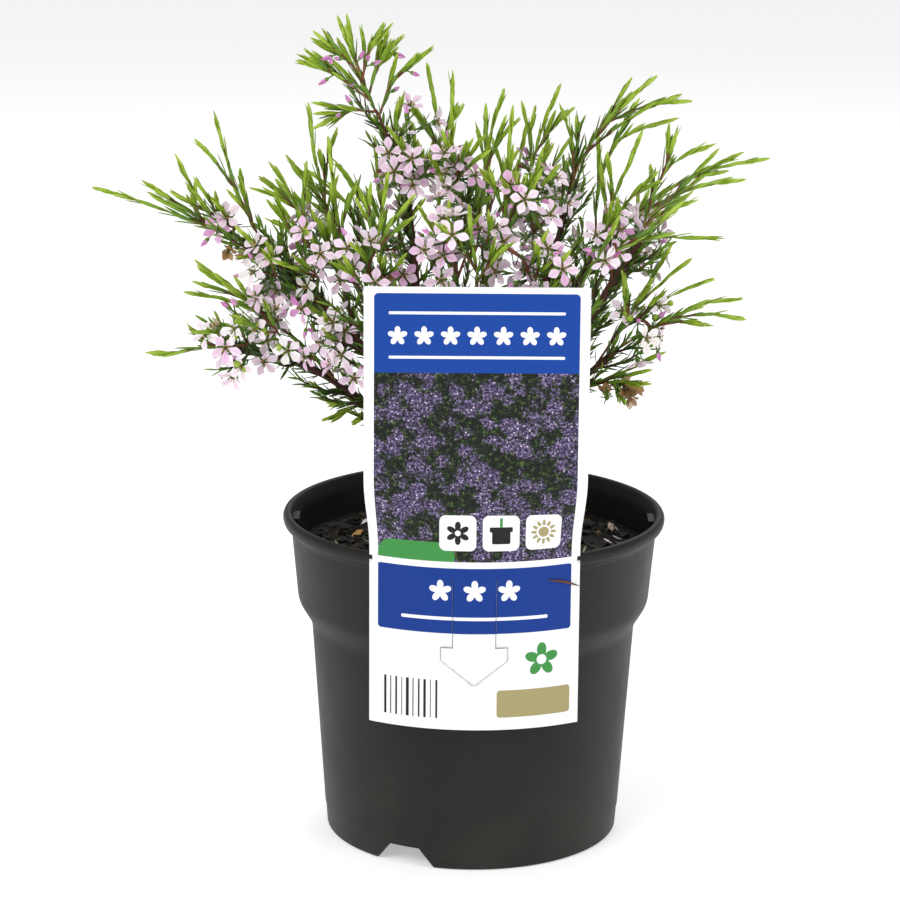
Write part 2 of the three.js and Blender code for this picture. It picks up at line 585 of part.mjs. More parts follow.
// How far along it a centre line that starts inside its carrier comes clear of the carrier's skin.
function seatOn(path, skin, radius) {
  const closest = new THREE.Vector3();
  const touches = (point) =>
    skin.some((face) => face.closestPointToPoint(point, closest).distanceTo(point) < GAP);
  let s = Math.min(SEAT_SEARCH.reach, path.length);
  while (s > 0) {
    const { point, heading } = placeOn(path, s);
    const { right, up } = planeOf(heading);
    const foot = Array.from({ length: 6 }, (_, i) => {
      const edge = point.clone().addScaledVector(right, radius * Math.cos((Math.PI * i) / 3));
      return edge.addScaledVector(up, radius * Math.sin((Math.PI * i) / 3));
    });
    if ([point, ...foot].some(touches)) {
      return s + SEAT_SEARCH.step;
    }
    s -= SEAT_SEARCH.step;
  }
  return 0;
}

// A stem as rings of vertices. A band between two near rings can carry a whorl of needles: each face
// of the band is drawn out to a tip, so a needle is one body with its stem.
function stemMesh(rings, sides, tips, endPoint) {
  const positions = [];
  const triangles = [];
  for (const { centre, u, v, radius, turn } of rings) {
    for (let i = 0; i < sides; i += 1) {
      const angle = turn + (2 * Math.PI * i) / sides;
      const spot = centre.clone().addScaledVector(u, radius * Math.cos(angle));
      positions.push(spot.addScaledVector(v, radius * Math.sin(angle)));
    }
  }
  for (let k = 0; k < rings.length - 1; k += 1) {
    for (let i = 0; i < sides; i += 1) {
      const next = (i + 1) % sides;
      const [a, b] = [k * sides + i, k * sides + next];
      const [c, d] = [b + sides, a + sides];
      const tip = tips[k] ? tips[k][i] : null;
      if (tip) {
        const p = positions.push(tip) - 1;
        triangles.push(a, b, p, b, c, p, c, d, p, d, a, p);
      } else {
        triangles.push(a, b, d, b, c, d);
      }
    }
  }
  for (let i = 1; i < sides - 1; i += 1) {
    triangles.push(0, i + 1, i);
  }
  const end = positions.push(endPoint) - 1;
  const lastRing = (rings.length - 1) * sides;
  for (let i = 0; i < sides; i += 1) {
    triangles.push(lastRing + i, lastRing + ((i + 1) % sides), end);
  }
  return solidOf(positions, triangles);
}

// Rings along a centre line at the given distances, with a frame that doesn't spin.
function ringsAlong(path, stops, radiusAt, turnAt) {
  let u = null;
  return stops.map((stop, k) => {
    const { point, heading } = placeOn(path, stop);
    const guide = u ?? (Math.abs(heading.z) > 0.9 ? new THREE.Vector3(1, 0, 0) : new THREE.Vector3(0, 0, 1));
    u = guide.clone().addScaledVector(heading, -guide.dot(heading)).normalize();
    const v = new THREE.Vector3().crossVectors(heading, u);
    return { centre: point, heading, u: u.clone(), v, radius: radiusAt(stop), turn: turnAt(k) };
  });
}

// The tips of one whorl, each leaning forward; one that finds no free room is left off.
function whorlTips(owner, ring, nextRing, needle, sides, seed) {
  const middle = ring.centre.clone().lerp(nextRing.centre, 0.5);
  return Array.from({ length: sides }, (_, i) => {
    const angle = ring.turn + (2 * Math.PI * (i + 0.5)) / sides;
    const out = ring.u.clone().multiplyScalar(Math.cos(angle)).addScaledVector(ring.v, Math.sin(angle));
    const root = middle.clone().addScaledVector(out, ring.radius * Math.cos(Math.PI / sides));
    for (const [stretch, bend] of [[1, 1], [1, 0.7], [0.9, 1.3], [0.75, 0.6], [0.7, 1.5]]) {
      const length = needle.length * stretch * (0.85 + 0.3 * draw(seed, i, 1));
      const lean = THREE.MathUtils.degToRad(needle.lean * bend * (0.85 + 0.3 * draw(seed, i, 2)));
      const tip = root.clone().addScaledVector(ring.heading, length * Math.cos(lean));
      tip.addScaledVector(out, length * Math.sin(lean));
      if (isClear(owner, root, tip, needle.reach)) {
        addBar(owner, root, tip, needle.reach);
        return tip;
      }
    }
    return null;
  });
}

// Where a stem has its rings: plain ones on its bare foot, then a near pair for each whorl.
function stemStops({ path, from }, needle) {
  const end = path.length;
  const start = from + Math.max(2, needle.bare * (end - from));
  const plain = Math.max(1, Math.round((start - from) / PLAIN_SPACING));
  const stops = Array.from({ length: plain }, (_, i) => from + ((start - from) * i) / plain);
  const count = Math.max(2, Math.round((end - start) / needle.spacing));
  const leafy = new Set();
  for (let i = 0; i < count; i += 1) {
    const at = start + ((end - start - needle.base) * i) / (count - 1);
    leafy.add(stops.length);
    stops.push(at, at + needle.base);
  }
  return { stops, leafy };
}

// The middles of a stem's bare lengths, where a side shoot can fork off it.
function bareForks(stem, needle) {
  const { stops, leafy } = stemStops(stem, needle);
  const forks = [];
  for (let k = 0; k < stops.length - 1; k += 1) {
    if (!leafy.has(k)) {
      const [a, b] = [placeOn(stem.path, stops[k]).point, placeOn(stem.path, stops[k + 1]).point];
      forks.push({ point: a.clone().lerp(b, 0.5), heading: b.clone().sub(a).normalize() });
    }
  }
  return forks;
}

function nearestPlace(places, wanted) {
  const gap = (place) => place.point.distanceTo(wanted);
  return places.reduce((a, b) => (gap(b) < gap(a) ? b : a));
}

// The rings of a leafy stem, from its stops.
function leafyRings({ path, from }, stops, radii, sides, sunk = false) {
  const radiusAt = (s) => {
    const share = (s - from) / (path.length - from);
    return sunk && s === from ? ROOT_RADIUS : THREE.MathUtils.lerp(radii[0], radii[1], share);
  };
  return ringsAlong(path, stops, radiusAt, (k) => (Math.PI / sides) * Math.ceil(k / 2));
}

// The faces of a leafy stem's skin, without its needles.
function skinOf(stem, needle, radii, sides) {
  const rings = leafyRings(stem, stemStops(stem, needle).stops, radii, sides);
  const geometry = fromSolid(stemMesh(rings, sides, [], rings.at(-1).centre));
  const { position } = geometry.attributes;
  const corner = (i) => new THREE.Vector3().fromBufferAttribute(position, geometry.index.getX(i));
  return Array.from({ length: geometry.index.count / 3 }, (_, i) => {
    return new THREE.Triangle(corner(3 * i), corner(3 * i + 1), corner(3 * i + 2));
  });
}

// A leafy stem: its rings and whorls, then a last point as its end needle.
function leafyStem(owner, stem, needle, radii, sides, endLength, seed, sunk = false) {
  const { stops, leafy } = stemStops(stem, needle);
  const rings = leafyRings(stem, stops, radii, sides, sunk);
  const tips = rings.map((ring, k) =>
    leafy.has(k) ? whorlTips(owner, ring, rings[k + 1], needle, sides, 100 * seed + k) : null,
  );
  const last = rings.at(-1);
  const endPoint = last.centre.clone().addScaledVector(last.heading, endLength);
  return stemMesh(rings, sides, tips, endPoint);
}

// Woody stem: the trunk and its limbs, one grown piece.

const limbPaths = {};
const limbStems = [];

function layLimbs() {
  const trunk = tracePath(TRUNK.map(toVector));
  pathBars(trunk, 0, TRUNK_RADIUS).forEach(([a, b, r]) => addBar("woody_stem", a, b, r));
  for (const [name, stations] of Object.entries(LIMBS)) {
    const path = tracePath(stations.map(toVector));
    const stem = { path: { ...path, length: path.length - GAP - LIMB_END }, from: 0 };
    stem.skin = skinOf(stem, OLD_NEEDLE, LIMB_RADII, 4);
    pathBars(path, 0, LIMB_RADII[0]).forEach(([a, b, r]) => addBar("woody_stem", a, b, r, stem));
    limbPaths[name] = path;
    limbStems.push(stem);
  }
}

function makeWoodyStem() {
  const trunk = tracePath(TRUNK.map(toVector));
  const rings = ringsAlong(trunk, [0, 18, 34, 39], () => TRUNK_RADIUS, () => 0);
  rings[3].radius = 0.6 * TRUNK_RADIUS;
  const crest = rings[3].centre.clone().addScaledVector(rings[3].heading, 1);
  const limbs = limbStems.map((stem, i) =>
    leafyStem("woody_stem", stem, OLD_NEEDLE, LIMB_RADII, 4, LIMB_END, 500 + i),
  );
  return namedMesh("woody_stem", joined([stemMesh(rings, 6, [], crest), ...limbs]), COLOURS.wood, 0.8);
}

// Leafy sprays: a main shoot that starts at a limb, with side shoots grown into it.

const shootsOf = {};

function laySpray([name, limbName, share, stations, sideShoots], index) {
  const owner = `spray_${name}`;
  const limb = limbPaths[limbName];
  const limbStem = limbStems[Object.keys(limbPaths).indexOf(limbName)];
  const foot = placeOn(limb, share * limb.length).point;
  const radius = SHOOT_RADII[0];
  const startOf = (path) => (share === 1 ? 0 : seatOn(path, limbStem.skin, radius));
  const main = bentClear(owner, [foot, ...stations.map(toVector)], radius, startOf, 40 + index);
  main.skin = skinOf(main, NEEDLE, SHOOT_RADII, 3);
  shootsOf[owner] = [main];
  const forks = bareForks(main, NEEDLE);
  sideShoots.forEach(([at, ...tip], i) => {
    const wanted = placeOn(main.path, main.from + at * (main.path.length - main.from)).point;
    const { point, heading } = nearestPlace(forks, wanted);
    const end = toVector(tip);
    const bow = point.clone().lerp(end, 0.4).addScaledVector(heading, 0.12 * point.distanceTo(end));
    const side = bentClear(owner, [point, bow, end], radius, () => 0, 200 + 10 * index + i);
    if (side) {
      side.skin = skinOf(side, NEEDLE, SHOOT_RADII, 3);
      shootsOf[owner].push(side);
    }
  });
}

function makeSpray(owner, index) {
  const spray = soundBody((variation) => {
    const radii = [SHOOT_RADII[0] + 0.01 * variation, SHOOT_RADII[1]];
    const solids = shootsOf[owner].map((shoot, i) =>
      leafyStem(owner, shoot, NEEDLE, radii, 3, 6, 1000 + 20 * index + i, i > 0),
    );
    return joined(solids);
  });
  return namedMesh(owner, spray, COLOURS.leaf, 0.6);
}

// Bunches of blooms: a short twig from the nearest stem, and blooms on stalks along it.

function nearestStem(target) {
  let best = null;
  for (const { a, b, radius, stem } of bars.filter((bar) => bar.stem?.skin)) {
    const along = b.clone().sub(a);
    const share = THREE.MathUtils.clamp(target.clone().sub(a).dot(along) / along.lengthSq(), 0, 1);
    const point = a.clone().addScaledVector(along, share);
    const distance = point.distanceTo(target) - radius;
    if (!best || distance < best.distance) {
      best = { distance, point, skin: stem.skin };
    }
  }
  return best;
}

function twigStops({ path, from }) {
  return [from, (from + path.length) / 2, path.length - 0.5];
}

// The i-th of so many stalk roots, spread along the straight lengths between the twig's rings.
function twigRoot(twig, i, count) {
  const [a, b, c] = twigStops(twig).map((stop) => placeOn(twig.path, stop).point);
  const along = 0.35 + (1.6 * (i + 0.5)) / count;
  return along < 1 ? a.lerp(b, Math.min(along, 0.93)) : b.lerp(c, Math.max(along - 1, 0.07));
}

// Five petals as bars from the middle, and the stalk behind it.
function bloomBars(bloom) {
  const { centre, facing, spin, root } = bloom;
  const { right, up } = planeOf(facing);
  const list = [];
  for (let i = 0; i < 5; i += 1) {
    const angle = spin + (2 * Math.PI * i) / 5;
    const tip = centre.clone().addScaledVector(right, BLOOM.radius * Math.cos(angle));
    tip.addScaledVector(up, BLOOM.radius * Math.sin(angle)).addScaledVector(facing, BLOOM.cup);
    list.push([centre, tip, 1.2]);
  }
  const calyx = centre.clone().addScaledVector(facing, -BLOOM.calyx);
  list.push([root, calyx, BLOOM.stalkRadius], [calyx, centre, BLOOM.calyxRadius]);
  return list;
}

function placeBloom(owner, wanted, root, seed) {
  for (let attempt = 0; attempt < BLOOM_SEARCH.attempts; attempt += 1) {
    const reach = BLOOM_SEARCH.step * attempt;
    const shift = [0, 1, 2].map((n) => (draw(seed, attempt, n) - 0.5) * reach);
    const centre = wanted.clone().add(toVector(shift));
    const outward = centre.clone().sub(CROWN_CENTRE).normalize();
    const toViewer = new THREE.Vector3(0, centre.y < 10 ? -0.9 : 0.4, 0.25);
    const tilt = [3, 4, 5].map((n) => (draw(seed, attempt, n) - 0.5) * 0.9);
    const stalk = centre.clone().sub(root).normalize();
    const facing = outward.add(toViewer).add(toVector(tilt)).addScaledVector(stalk, 0.7).normalize();
    if (facing.dot(stalk) < 0.3) {
      continue;
    }
    const bloom = { centre, facing, spin: 6.28 * draw(seed, attempt, 7), root };
    const own = `${owner}/${seed}`;
    const twigBar = (bar) => bar.owner === owner;
    const free = ([a, b, r], i) => isClear(own, a, b, r, i === 5 ? twigBar : undefined);
    if (bloomBars(bloom).every(free)) {
      bloomBars(bloom).forEach(([a, b, r]) => addBar(own, a, b, r));
      return bloom;
    }
  }
  return null;
}

const bunches = [];

function layBunch(name, wanted, index) {
  const owner = `blooms_${name}`;
  const middle = wanted.reduce((sum, p) => sum.add(p), new THREE.Vector3()).divideScalar(wanted.length);
  const inward = CROWN_CENTRE.clone().sub(middle).normalize();
  const heart = middle.clone().addScaledVector(inward, 5);
  const { point, skin } = nearestStem(heart);
  const bow = point.clone().lerp(heart, 0.5).add(new THREE.Vector3(0, 0, -1));
  const startOf = (path) => seatOn(path, skin, TWIG_RADIUS);
  const twig = bentClear(owner, [point, bow, heart, middle], TWIG_RADIUS, startOf, 700 + index);
  const start = placeOn(twig.path, twig.from).point;
  const nearestFirst = [...wanted].sort((p, q) => p.distanceTo(start) - q.distanceTo(start));
  const blooms = nearestFirst.map((p, i) => {
    const root = twigRoot(twig, i, nearestFirst.length);
    return placeBloom(owner, p, root, 3000 + 50 * index + i);
  });
  bunches.push({ owner, twig, blooms: blooms.filter(Boolean) });
}

function frontPlaces([, depth, spots], index) {
  return spots.map(([x, z], i) => new THREE.Vector3(x, depth + 16 * (draw(60 + index, i) - 0.5), z));
}

function backPlaces([, centre, count], index) {
  return Array.from({ length: count }, (_, i) => {
    const angle = (2 * Math.PI * (i + 0.5 * draw(80 + index, i))) / count;
    const radius = i === 0 ? 1 : 9 + 5 * draw(80 + index, i, 1);
    const around = toVector(centre).sub(CROWN_CENTRE).normalize();
    const { right, up } = planeOf(around);
    const spot = toVector(centre).addScaledVector(right, radius * Math.cos(angle));
    spot.addScaledVector(up, radius * Math.sin(angle));
    return spot.addScaledVector(around, 5 * draw(80 + index, i, 2));
  });
}

// A bloom: a star of five petals, cupped towards its face, on a calyx and a three-sided stalk.
function bloomSolid({ centre, facing, spin, root }) {
  const { right, up } = planeOf(facing);
  const onStar = (angle, radius, lift) => {
    const spot = centre.clone().addScaledVector(right, radius * Math.cos(angle));
    return spot.addScaledVector(up, radius * Math.sin(angle)).addScaledVector(facing, lift);
  };
  const positions = [];
  for (let i = 0; i < 10; i += 1) {
    const angle = spin + (Math.PI * i) / 5;
    positions.push(onStar(angle, i % 2 ? BLOOM.notch : BLOOM.radius, i % 2 ? 0 : BLOOM.cup));
  }
  for (let i = 0; i < 3; i += 1) {
    const angle = spin + (2 * Math.PI * i) / 3;
    positions.push(onStar(angle, BLOOM.calyxRadius, -BLOOM.calyx));
  }
  const neck = onStar(0, 0, -BLOOM.calyx);
  const stalk = neck.clone().sub(root).normalize();
  const side = positions[10].clone().sub(neck);
  side.addScaledVector(stalk, -side.dot(stalk)).normalize();
  for (let i = 0; i < 3; i += 1) {
    const spoke = side.clone().applyAxisAngle(stalk, (2 * Math.PI * i) / 3);
    positions.push(root.clone().addScaledVector(stalk, -0.15).addScaledVector(spoke, ROOT_RADIUS));
  }
  const top = positions.push(onStar(0, 0, 0.2)) - 1;
  const triangles = [];
  for (let i = 0; i < 10; i += 1) {
    triangles.push(top, i, (i + 1) % 10);
  }
  const calyxFor = (i) => 10 + (Math.floor((i * 3 + 5) / 10) % 3);
  for (let i = 0; i < 10; i += 1) {
    const next = (i + 1) % 10;
    triangles.push(next, i, calyxFor(i));
    if (calyxFor(next) !== calyxFor(i)) {
      triangles.push(next, calyxFor(i), calyxFor(next));
    }
  }
  for (let i = 0; i < 3; i += 1) {
    const [a, b] = [10 + i, 10 + ((i + 1) % 3)];
    triangles.push(b, a, a + 3, b, a + 3, b + 3);
  }
  triangles.push(13, 15, 14);
  return solidOf(positions, triangles);
}

function makeBunch({ owner, twig, blooms }) {
  const bunch = soundBody((variation) => {
    const rings = ringsAlong(twig.path, twigStops(twig), () => TWIG_RADIUS, () => 0.15 * variation);
    const end = rings[2].centre.clone().addScaledVector(rings[2].heading, 0.5);
    return joined([stemMesh(rings, 3, [], end), ...blooms.map(bloomSolid)]);
  });
  return namedMesh(owner, bunch, COLOURS.bloom, 0.55);
}

// The whole: stems are laid first, then blooms, and needles last, where there is room for them.
const plant = new THREE.Group();
plant.add(makePot(), makeSoil(), makeLabel());
layLimbs();
SPRAYS.forEach(laySpray);
FRONT_BUNCHES.forEach((bunch, i) => layBunch(bunch[0], frontPlaces(bunch, i), i));
BACK_BUNCHES.forEach((bunch, i) => layBunch(bunch[0], backPlaces(bunch, i), 30 + i));
plant.add(makeWoodyStem());
Object.keys(shootsOf).forEach((owner, i) => plant.add(makeSpray(owner, i)));
bunches.forEach((bunch) => plant.add(makeBunch(bunch)));

export default plant;
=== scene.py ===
import math

import bpy
import numpy as np
from mathutils import Matrix, Vector, noise


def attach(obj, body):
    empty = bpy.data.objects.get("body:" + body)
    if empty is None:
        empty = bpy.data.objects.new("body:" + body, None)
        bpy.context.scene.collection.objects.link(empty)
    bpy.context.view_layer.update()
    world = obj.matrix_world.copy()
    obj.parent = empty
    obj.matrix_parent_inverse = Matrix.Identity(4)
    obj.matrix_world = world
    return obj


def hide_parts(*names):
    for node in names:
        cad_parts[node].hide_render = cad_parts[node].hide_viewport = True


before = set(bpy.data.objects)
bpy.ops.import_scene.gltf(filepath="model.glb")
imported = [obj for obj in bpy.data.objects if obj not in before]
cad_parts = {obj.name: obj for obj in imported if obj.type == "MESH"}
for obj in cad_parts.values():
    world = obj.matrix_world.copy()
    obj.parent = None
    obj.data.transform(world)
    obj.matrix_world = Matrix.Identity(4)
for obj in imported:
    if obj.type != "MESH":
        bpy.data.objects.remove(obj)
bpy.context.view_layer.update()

# The nursery pot: one thin-walled injection moulding in black polypropylene, with a rolled rim,
# a deep collar, three drain gaps in its foot ring, six drain holes and two slotted hanger lugs. The
# plastic is satin, because the mould is grained, and a little dusty from the potting bench.
MM = 0.001
POT_HEIGHT = 120
RIM_RADIUS = 70
COLLAR_TOP_RADIUS = 66.8
COLLAR_FOOT = (64.3, 87)
SHOULDER = (59.4, 79)
FOOT_RADIUS = 53.8
WALL = 1.4
BASE_PLATE = (8.4, 10)
CENTRE_FOOT_RADIUS = 14
POT_SEGMENTS = 180
NOTCH = {"count": 3, "first": -27, "low": 25, "high": 12, "height": 7}
DRAIN = {"count": 6, "radius": 4, "circle": 38, "sides": 24, "drill": (5, 12)}
HANGER = {"z": 114, "rib": (2.4, 11, 6.5), "slot": (9.6, 5, 1.8)}


def to_linear(colour):
    """An sRGB hex colour as the linear one, with alpha, that a shader socket takes."""
    channels = [int(colour[i : i + 2], 16) / 255 for i in (1, 3, 5)]
    return [c / 12.92 if c <= 0.04045 else ((c + 0.055) / 1.055) ** 2.4 for c in channels] + [1]


def link_all(tree, node, links):
    """Links each input to its source: a socket, or a node that stands for its first output."""
    for socket, source in links.items():
        tree.links.new(getattr(source, "outputs", [source])[0], node.inputs[socket])


def add_node(tree, kind, values=None, links=None, stops=(), **settings):
    """A shader node: its settings, the values and links of its inputs, and a ramp's hex stops."""
    node = tree.nodes.new(kind)
    for name, value in settings.items():
        setattr(node, name, value)
    for socket, value in (values or {}).items():
        node.inputs[socket].default_value = value
    link_all(tree, node, links or {})
    for i, (at, colour) in enumerate(stops):
        elements = node.color_ramp.elements
        element = elements[i] if i < 2 else elements.new(at)
        element.position = at
        element.color = to_linear(colour)
    return node


def new_material(name, roughness, ior=1.5, **sockets):
    """A material on a Principled shader whose constants sit on the shader's own sockets."""
    material = bpy.data.materials.new(name)
    material.use_nodes = True
    tree = material.node_tree
    shader = tree.nodes["Principled BSDF"]
    shader.inputs["Roughness"].default_value = roughness
    shader.inputs["IOR"].default_value = ior
    for socket, value in sockets.items():
        shader.inputs[socket.replace("_", " ")].default_value = value
    return material, tree, shader


def mesh_object(name, points, faces, materials=(), sharp=35):
    """A smooth-shaded mesh from points in millimetres, with creases past the given angle."""
    mesh = bpy.data.meshes.new(name)
    mesh.from_pydata((np.asarray(points, float) * MM).tolist(), [], faces)
    for material in materials:
        mesh.materials.append(material)
    mesh.polygons.foreach_set("use_smooth", [True] * len(mesh.polygons))
    mesh.set_sharp_from_angle(angle=math.radians(sharp))
    made = bpy.data.objects.new(name, mesh)
    bpy.context.scene.collection.objects.link(made)
    return made


def rounded_outline(corners, steps=4):
    """A profile through (radius, z, rounding) corners, each rounded off by a short curve."""
    outline = []
    for i, (r, z, rounding) in enumerate(corners):
        here = np.array([r, z], float)
        if rounding == 0 or i in (0, len(corners) - 1):
            outline.append(here)
            continue
        before = np.array(corners[i - 1][:2], float) - here
        after = np.array(corners[i + 1][:2], float) - here
        start = here + before * min(0.45, rounding / np.linalg.norm(before))
        end = here + after * min(0.45, rounding / np.linalg.norm(after))
        for t in np.linspace(0, 1, steps + 1):
            outline.append((1 - t) ** 2 * start + 2 * t * (1 - t) * here + t**2 * end)
    return outline


def lathed(outline, segments):
    """Points and faces of a body turned about Z, from a profile that starts and ends on the axis."""
    ring = outline[1:-1]
    points = [(0, 0, outline[0][1])]
    for r, z in ring:
        for k in range(segments):
            angle = 2 * math.pi * k / segments
            points.append((r * math.sin(angle), -r * math.cos(angle), z))
    points.append((0, 0, outline[-1][1]))
    faces = []
    last = len(points) - 1
    top = 1 + (len(ring) - 1) * segments
    for k in range(segments):
        n = (k + 1) % segments
        faces.append((0, 1 + n, 1 + k))
        faces.append((last, top + k, top + n))
        for j in range(len(ring) - 1):
            a = 1 + j * segments
            faces.append((a + k, a + n, a + segments + n, a + segments + k))
    return points, faces


def block(size, centre, angle=0.0, shrink=1.0):
    """Eight corners and six faces of a block turned about Z; its top is shrunk across X."""
    width, depth, height = size
    points = []
    for z in (-0.5, 0.5):
        for x, y in ((-0.5, -0.5), (0.5, -0.5), (0.5, 0.5), (-0.5, 0.5)):
            across = x * width * (shrink if z > 0 else 1) + centre[0]
            away = y * depth + centre[1]
            turned_x = across * math.cos(angle) - away * math.sin(angle)
            turned_y = across * math.sin(angle) + away * math.cos(angle)
            points.append((turned_x, turned_y, z * height + centre[2]))
    faces = [(3, 2, 1, 0), (4, 5, 6, 7), (0, 1, 5, 4), (1, 2, 6, 5), (2, 3, 7, 6), (3, 0, 4, 7)]
    return points, faces


def merged(bodies):
    """Several bodies' points and faces as one list of each."""
    points = []
    faces = []
    for some_points, some_faces in bodies:
        faces += [tuple(i + len(points) for i in face) for face in some_faces]
        points += list(some_points)
    return points, faces


def cut_or_join(target, bodies, operation, overlapping=False):
    """Cuts bodies from a mesh, or joins them to it, and applies the result."""
    tool = mesh_object("tool", *merged(bodies))
    change = target.modifiers.new("change", "BOOLEAN")
    change.operation = operation
    change.solver = "EXACT"
    change.use_self = overlapping
    change.object = tool
    bpy.context.view_layer.objects.active = target
    with bpy.context.temp_override(object=target, active_object=target):
        bpy.ops.object.modifier_apply(modifier="change")
    bpy.data.objects.remove(tool)


def install(piece, slot, *nodes):
    """Fixes a finished piece to the plant's one body, in place of the solids that it stands for."""
    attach(piece, "root")
    if nodes:
        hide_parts(*nodes)
    return piece


inner_top = COLLAR_TOP_RADIUS - WALL
pot_corners = [
    (0, 0, 0),
    (CENTRE_FOOT_RADIUS, 0, 0.5),
    (CENTRE_FOOT_RADIUS + 1.5, BASE_PLATE[0], 0.8),
    (FOOT_RADIUS - 2.8, BASE_PLATE[0], 0.8),
    (FOOT_RADIUS - 2.2, 0, 0.5),
    (FOOT_RADIUS, 0, 0.9),
    (FOOT_RADIUS + 0.55, 8, 0.1),
    (FOOT_RADIUS + 0.8, 8.3, 0.1),
    (*SHOULDER, 2.5),
    (*COLLAR_FOOT, 2.2),
    (COLLAR_TOP_RADIUS, 114.0, 1.4),
    (RIM_RADIUS - 0.6, 115.6, 1.2),
    (RIM_RADIUS, 118.2, 1.4),
    (RIM_RADIUS - 1.0, POT_HEIGHT, 1.1),
    (RIM_RADIUS - 3.0, POT_HEIGHT, 1.1),
    (inner_top, 115, 1.2),
    (COLLAR_FOOT[0] - WALL, COLLAR_FOOT[1] + 1, 1.8),
    (SHOULDER[0] - WALL, SHOULDER[1] + 1, 1.8),
    (FOOT_RADIUS - WALL + 0.6, BASE_PLATE[1], 1.5),
    (0, BASE_PLATE[1], 0),
]

pot_plastic, tree, shader = new_material(
    "moulded_black_polypropylene", 0.5, 1.49, Specular_IOR_Level=0.22
)
place = add_node(tree, "ShaderNodeTexCoord").outputs["Object"]
# Broad smears of dust and dried water, 30 mm across, lift the black to charcoal.
smear = {"Scale": 1 / (30 * MM), "Detail": 5, "Roughness": 0.6}
smears = add_node(tree, "ShaderNodeTexNoise", smear, {"Vector": place})
height = add_node(tree, "ShaderNodeSeparateXYZ", links={"Vector": place}).outputs["Z"]
dust = {"From Min": 0, "From Max": 40 * MM, "To Min": 0.22, "To Max": 0}
low_dust = add_node(tree, "ShaderNodeMapRange", dust, {"Value": height})
dusty = add_node(tree, "ShaderNodeMath", links={0: smears, 1: low_dust}, operation="ADD")
charcoal = [(0.3, "#1a1917"), (0.6, "#22201d"), (0.9, "#302d29")]
tint = add_node(tree, "ShaderNodeValToRGB", links={"Fac": dusty}, stops=charcoal)
satin = {"From Min": 0.3, "From Max": 0.8, "To Min": 0.42, "To Max": 0.6}
gloss = add_node(tree, "ShaderNodeMapRange", satin, {"Value": smears})
# The mould's grain is about 0.15 mm; it is drawn at 0.5 mm, the finest that shows in a picture.
grain = add_node(tree, "ShaderNodeTexNoise", {"Scale": 1 / (0.5 * MM), "Detail": 2}, {"Vector": place})
waves = add_node(tree, "ShaderNodeTexNoise", {"Scale": 1 / (22 * MM), "Detail": 1}, {"Vector": place})
uneven = add_node(tree, "ShaderNodeBump", {"Strength": 0.25, "Distance": 0.5 * MM}, {"Height": waves})
fine = {"Strength": 0.16, "Distance": 0.06 * MM}
skin = add_node(tree, "ShaderNodeBump", fine, {"Height": grain, "Normal": uneven})
link_all(tree, shader, {"Base Color": tint, "Roughness": gloss, "Normal": skin})

pot = mesh_object("nursery_pot", *lathed(rounded_outline(pot_corners), POT_SEGMENTS), [pot_plastic])
rib_x = inner_top - 0.4
cut_or_join(pot, [block(HANGER["rib"], (s * rib_x, 0, HANGER["z"])) for s in (-1, 1)], "UNION")
cutters = []
for i in range(NOTCH["count"]):
    angle = math.radians(NOTCH["first"] + 360 * i / NOTCH["count"])
    tall = NOTCH["height"] + 1
    shrink = NOTCH["high"] / NOTCH["low"]
    cutters.append(block((NOTCH["low"], 14, tall), (0, 3 - FOOT_RADIUS, tall / 2 - 1), angle, shrink))
sides = DRAIN["sides"]
angles = [2 * math.pi * k / sides for k in range(sides)]
side = [DRAIN["radius"] * math.cos(angle) for angle in angles]
away = [DRAIN["circle"] + DRAIN["radius"] * math.sin(angle) for angle in angles]
ends = [tuple(range(sides - 1, -1, -1)), tuple(range(sides, 2 * sides))]
walls = [(k, (k + 1) % sides, sides + (k + 1) % sides, sides + k) for k in range(sides)]
for i in range(DRAIN["count"]):
    turn = 2 * math.pi * i / DRAIN["count"]
    ring = [(x * math.cos(turn) - y * math.sin(turn), x * math.sin(turn) + y * math.cos(turn))
            for x, y in zip(side, away)]
    cutters.append(([(x, y, z) for z in DRAIN["drill"] for x, y in ring], ends + walls))
for s in (-1, 1):
    cutters.append(block(HANGER["slot"], (s * rib_x, 0, HANGER["z"] - 1)))
cut_or_join(pot, cutters, "DIFFERENCE")
pot.data.set_sharp_from_angle(angle=math.radians(32))
install(pot, "pot_plastic", "pot")

# The potting mix: damp composted pine bark and peat that fills the pot to 14 mm under the rim.
# Its top is lumpy with chips of bark, and dried petals and leaves have fallen on it.
SOIL_LEVEL = 106
SOIL_GAP = 0.45
SOIL_SEGMENTS = 120
TRUNK_FOOT = (-2, 0)


def soil_height(x, y):
    """The height of the mix's top, in lumps of about 20, 7 and 3 mm."""
    here = Vector((x, y, 0))
    broad = 2.2 * noise.noise(here / 20)
    middle = 1.8 * noise.noise(here / 7 + Vector((9, 0, 0)))
    fine = 1.0 * noise.noise(here / 3 + Vector((0, 5, 0)))
    mound = 2.0 * math.exp(-((x - TRUNK_FOOT[0]) ** 2 + (y - TRUNK_FOOT[1]) ** 2) / 500)
    edge = min(1, (64.5 - math.hypot(x, y)) / 5)
    return SOIL_LEVEL + (broad + middle + fine + mound) * max(0, edge)


